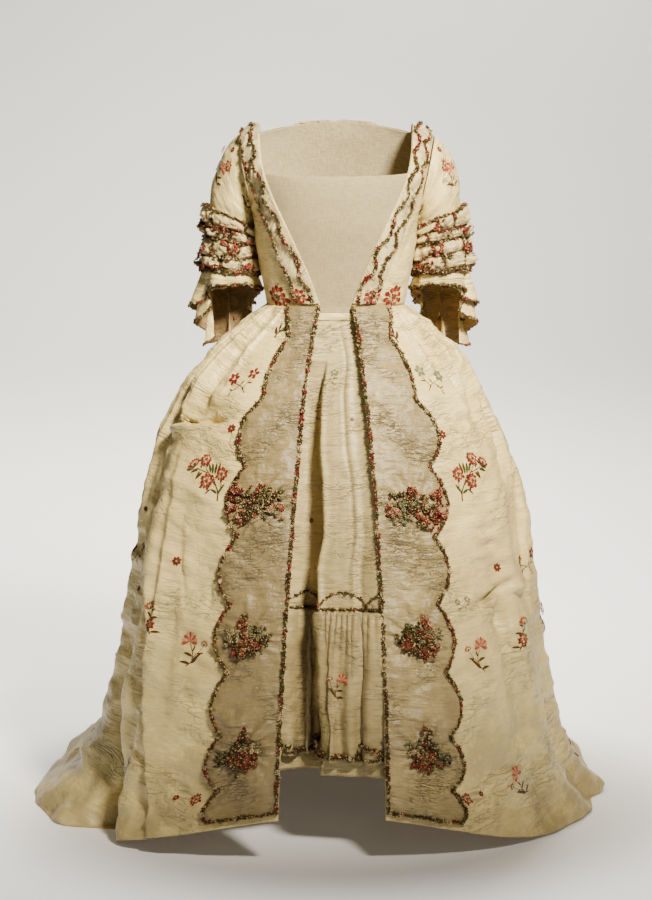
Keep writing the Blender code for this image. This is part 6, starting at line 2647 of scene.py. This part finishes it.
    def garland(self, flounce: Sheet) -> None:
        """Arches of thick floss near the flounce's foot, over a thin line of braid.

        Args:
            flounce: The flounce beneath.
        """
        x = np.linspace(-0.255, 0.255, 420)
        low = self.flounce_foot - 0.01
        self.floss.line("fly_braid_flounce", flounce, low, x, 0.001, 0.0046, "flounce_braid", size=0.0036)
        share = (x + 0.034) / 0.096
        over = low - 0.006 - 0.026 * np.clip(1 - np.abs(np.mod(share + 0.5, 1) - 0.5) * 3.6, 0, 1)
        points, normal, _, _ = self.floss.run(flounce, over, x, 0.0035, 0.003)
        chance = np.random.default_rng(97)
        points = points + normal * chance.uniform(0, 0.004, (len(points), 1))
        mix = [Tone.GREEN, Tone.OLIVE, Tone.BROWN, Tone.SAGE, Tone.CORAL, Tone.CREAM, Tone.RED]
        weights = (0.3, 0.24, 0.18, 0.1, 0.07, 0.06, 0.05)
        tones = np.array([mix[i].share for i in chance.choice(7, len(points), p=weights)])
        normal = unit(normal + chance.normal(0, 0.4, normal.shape))
        run = (points, normal, tones, False)
        piece = self.floss.grow("floss_garland", [run], self.floss.petals, 0.0062, 0.3)
        settle(piece, "floss_posy")

    def dress(self) -> None:
        """Makes the petticoat and everything sewn on it."""
        finish = self.wardrobe
        skirt = self.skirt()
        cloth("petticoat", skirt, finish.petticoat, finish.lining)
        cloth("petticoat_band", self.band(), finish.silk, finish.lining)
        flounce = self.flounce(skirt)
        cloth("petticoat_flounce", flounce, finish.flounce, finish.lining)
        self.header(skirt)
        self.garland(flounce)
        brocade = Brocade(skirt)
        brocade.lay("faded 0.154 0 -10 0.6; blossom 0.228 0.012 0 0.45; blossom 0.43 -0.021 0 0.6")
        brocade.repeat((0.14, 0.48), (0.08, 0.97), 55)
        brocade.repeat((-0.48, -0.14), (0.08, 0.97), 56)
        brocade.finish("petticoat", finish.brocade)
        worked = Brocade(flounce)
        worked.lay("spray 0.822 0.008 14 0.8")
        worked.finish("flounce", finish.brocade)


# ---- studio ----
@dataclass
class Studio:
    """A pale floor that curves up into a wall, soft lights, and the camera."""

    camera_height: float = 1.3  # above the floor
    camera_back: float = 4.5
    camera_aside: float = -0.018
    tilt: float = 7.5  # degrees down
    lens: float = 96.24
    wall: float = 2.6  # how far behind the gown the floor starts to rise
    curve: float = 0.9  # radius of the curve between floor and wall

    def sweep(self) -> None:
        """The seamless floor and wall."""
        angle = np.radians(np.linspace(0, 90, 16))
        y = np.append([-1.7, self.wall], self.wall + self.curve * np.sin([*angle[1:], math.pi / 2]))
        z = np.concatenate([[0.0, 0.0], self.curve * (1 - np.cos(angle[1:])), [2.9]])
        points = [(x, a, b) for a, b in zip(y, z) for x in (-1.9, 1.9)]
        faces = [(2 * i, 2 * i + 1, 2 * i + 3, 2 * i + 2) for i in range(len(y) - 1)]
        mesh_object("studio_sweep", np.array(points), faces, [self.paper()])

    def paper(self) -> Material:
        """Its paper, which gives off a soft painted light, weaker on the wall, with a painted shadow
        beneath the gown.
        """
        shader = Shader("studio_paper")
        risen = shader.within(shader.part(shader.place, 2), -1.28, -0.7)
        colour = shader.mix(risen, (0.92, 0.905, 0.865), (0.7, 0.69, 0.66))
        grain = shader.times(shader.noise(shader.place, 220.0, 2.0), 0.00005)
        across = shader.maths("POWER", shader.part(shader.place, 0), 2.0)
        behind = shader.maths("SUBTRACT", shader.part(shader.place, 1), 0.15)
        away = shader.maths("SQRT", shader.maths("ADD", across, shader.maths("POWER", behind, 2.0)))
        # painted light: the paper glows, weaker on the wall and nearly dark beneath the gown as a painted
        # shadow
        painted_glow = shader.mix(shader.within(away, 0.5, 0.84), (0.06, 0.052, 0.042), (1.0, 0.965, 0.9))
        painted_glow = shader.mix(risen, painted_glow, (0.36, 0.345, 0.315))
        shader.put(shader.surface.inputs["Emission Color"], painted_glow)
        return shader.done(colour, grain, 0.9, emission_strength=1.15)

    def light(self, name: str, place: tuple, aim: tuple, size: float, power: float, warm: float) -> None:
        """One soft square light.

        Args:
            name: Its name.
            place: Where it hangs, with its height above the floor.
            aim: The point that it faces.
            size: Length of its side.
            power: In watts.
            warm: 0 for white, 1 for lamp light.
        """
        lamp = bpy.data.lights.new(name, "AREA")
        lamp.size, lamp.energy = size, power
        self.hang(lamp, place, aim, warm)

    def key(self, place: tuple, aim: tuple, radius: float, power: float, spread: float) -> None:
        """The soft spotlight, which fades towards the hem.

        Args:
            place: Where it hangs, with its height above the floor.
            aim: The point that it faces.
            radius: Of its face.
            power: In watts.
            spread: Width of its beam, in degrees.
        """
        lamp = bpy.data.lights.new("key", "SPOT")
        lamp.shadow_soft_size, lamp.energy = radius, power
        lamp.spot_size, lamp.spot_blend = math.radians(spread), 1.0
        self.hang(lamp, place, aim, 0.9)

    def hang(self, lamp: bpy.types.Light, place: tuple, aim: tuple, warm: float) -> None:
        """Hangs a lamp, turned to its aim; it is white at a warmth of 0.

        Args:
            lamp: The lamp.
            place: Where, with its height above the floor.
            aim: The point that it faces.
            warm: 0 for white, 1 for lamp light.
        """
        lamp.color = (1.0, 1.0 - 0.07 * warm, 1.0 - 0.2 * warm)
        obj = bpy.data.objects.new(lamp.name, lamp)
        obj.location = Vector(place) - Vector((0, 0, HOLD_HEIGHT))
        away = Vector(place) - Vector(aim)
        obj.rotation_euler = away.to_track_quat("Z", "Y").to_euler()
        bpy.context.scene.collection.objects.link(obj)

    def build(self) -> None:
        """Makes the stage, the lights and the camera."""
        self.sweep()
        chest, hips = (0.0, 0.0, 1.05), (-0.1, 0.0, 0.75)
        self.key((0.98, -2.5, 2.8), (0.0, 0.0, 1.26), 0.26, 1820, 45)
        self.light("fill", (0.4, -4.4, 2.1), chest, 1.0, 8, 0.8)
        self.light("top", (0.0, 0.9, 3.9), hips, 1.8, 6, 1.0)
        self.light("wall", (0.3, 1.8, 2.5), (0.1, 3.5, 1.1), 1.6, 66, 0.6)
        self.light("back", (0.7, 2.3, 2.5), (0.0, 0.5, 0.6), 1.0, 58, 0.7)
        world = bpy.data.worlds.new("studio")
        world.use_nodes = True
        background = world.node_tree.nodes["Background"]
        background.inputs["Color"].default_value = (1.0, 0.94, 0.82, 1.0)
        background.inputs["Strength"].default_value = 0.04
        bpy.context.scene.world = world
        lens = bpy.data.cameras.new("camera")
        lens.lens, lens.sensor_width, lens.sensor_fit = self.lens, 36.0, "AUTO"
        lens.clip_end = 30.0
        camera = bpy.data.objects.new("camera", lens)
        place = (self.camera_aside, -self.camera_back, self.camera_height - HOLD_HEIGHT)
        camera.location = place
        camera.rotation_euler = (math.radians(90 - self.tilt), 0.0, 0.0)
        bpy.context.scene.collection.objects.link(camera)
        bpy.context.scene.camera = camera


def main() -> None:
    """Dresses the gown, then sets the stage."""
    logging.basicConfig(level=logging.INFO, format="%(message)s")
    wardrobe = Wardrobe()
    floss = FlossWorker(wardrobe.floss)
    bodice = Bodice(wardrobe, floss)
    for dressed in (
        bodice,
        GownSkirt(wardrobe, floss),
        SackBack(wardrobe, bodice),
        Sleeve(wardrobe, floss),
        Petticoat(wardrobe, floss),
    ):
        dressed.dress()
        log.info("%s is dressed", type(dressed).__name__)
    Studio().build()
    bpy.context.view_layer.update()


if __name__ == "__main__":
    main()
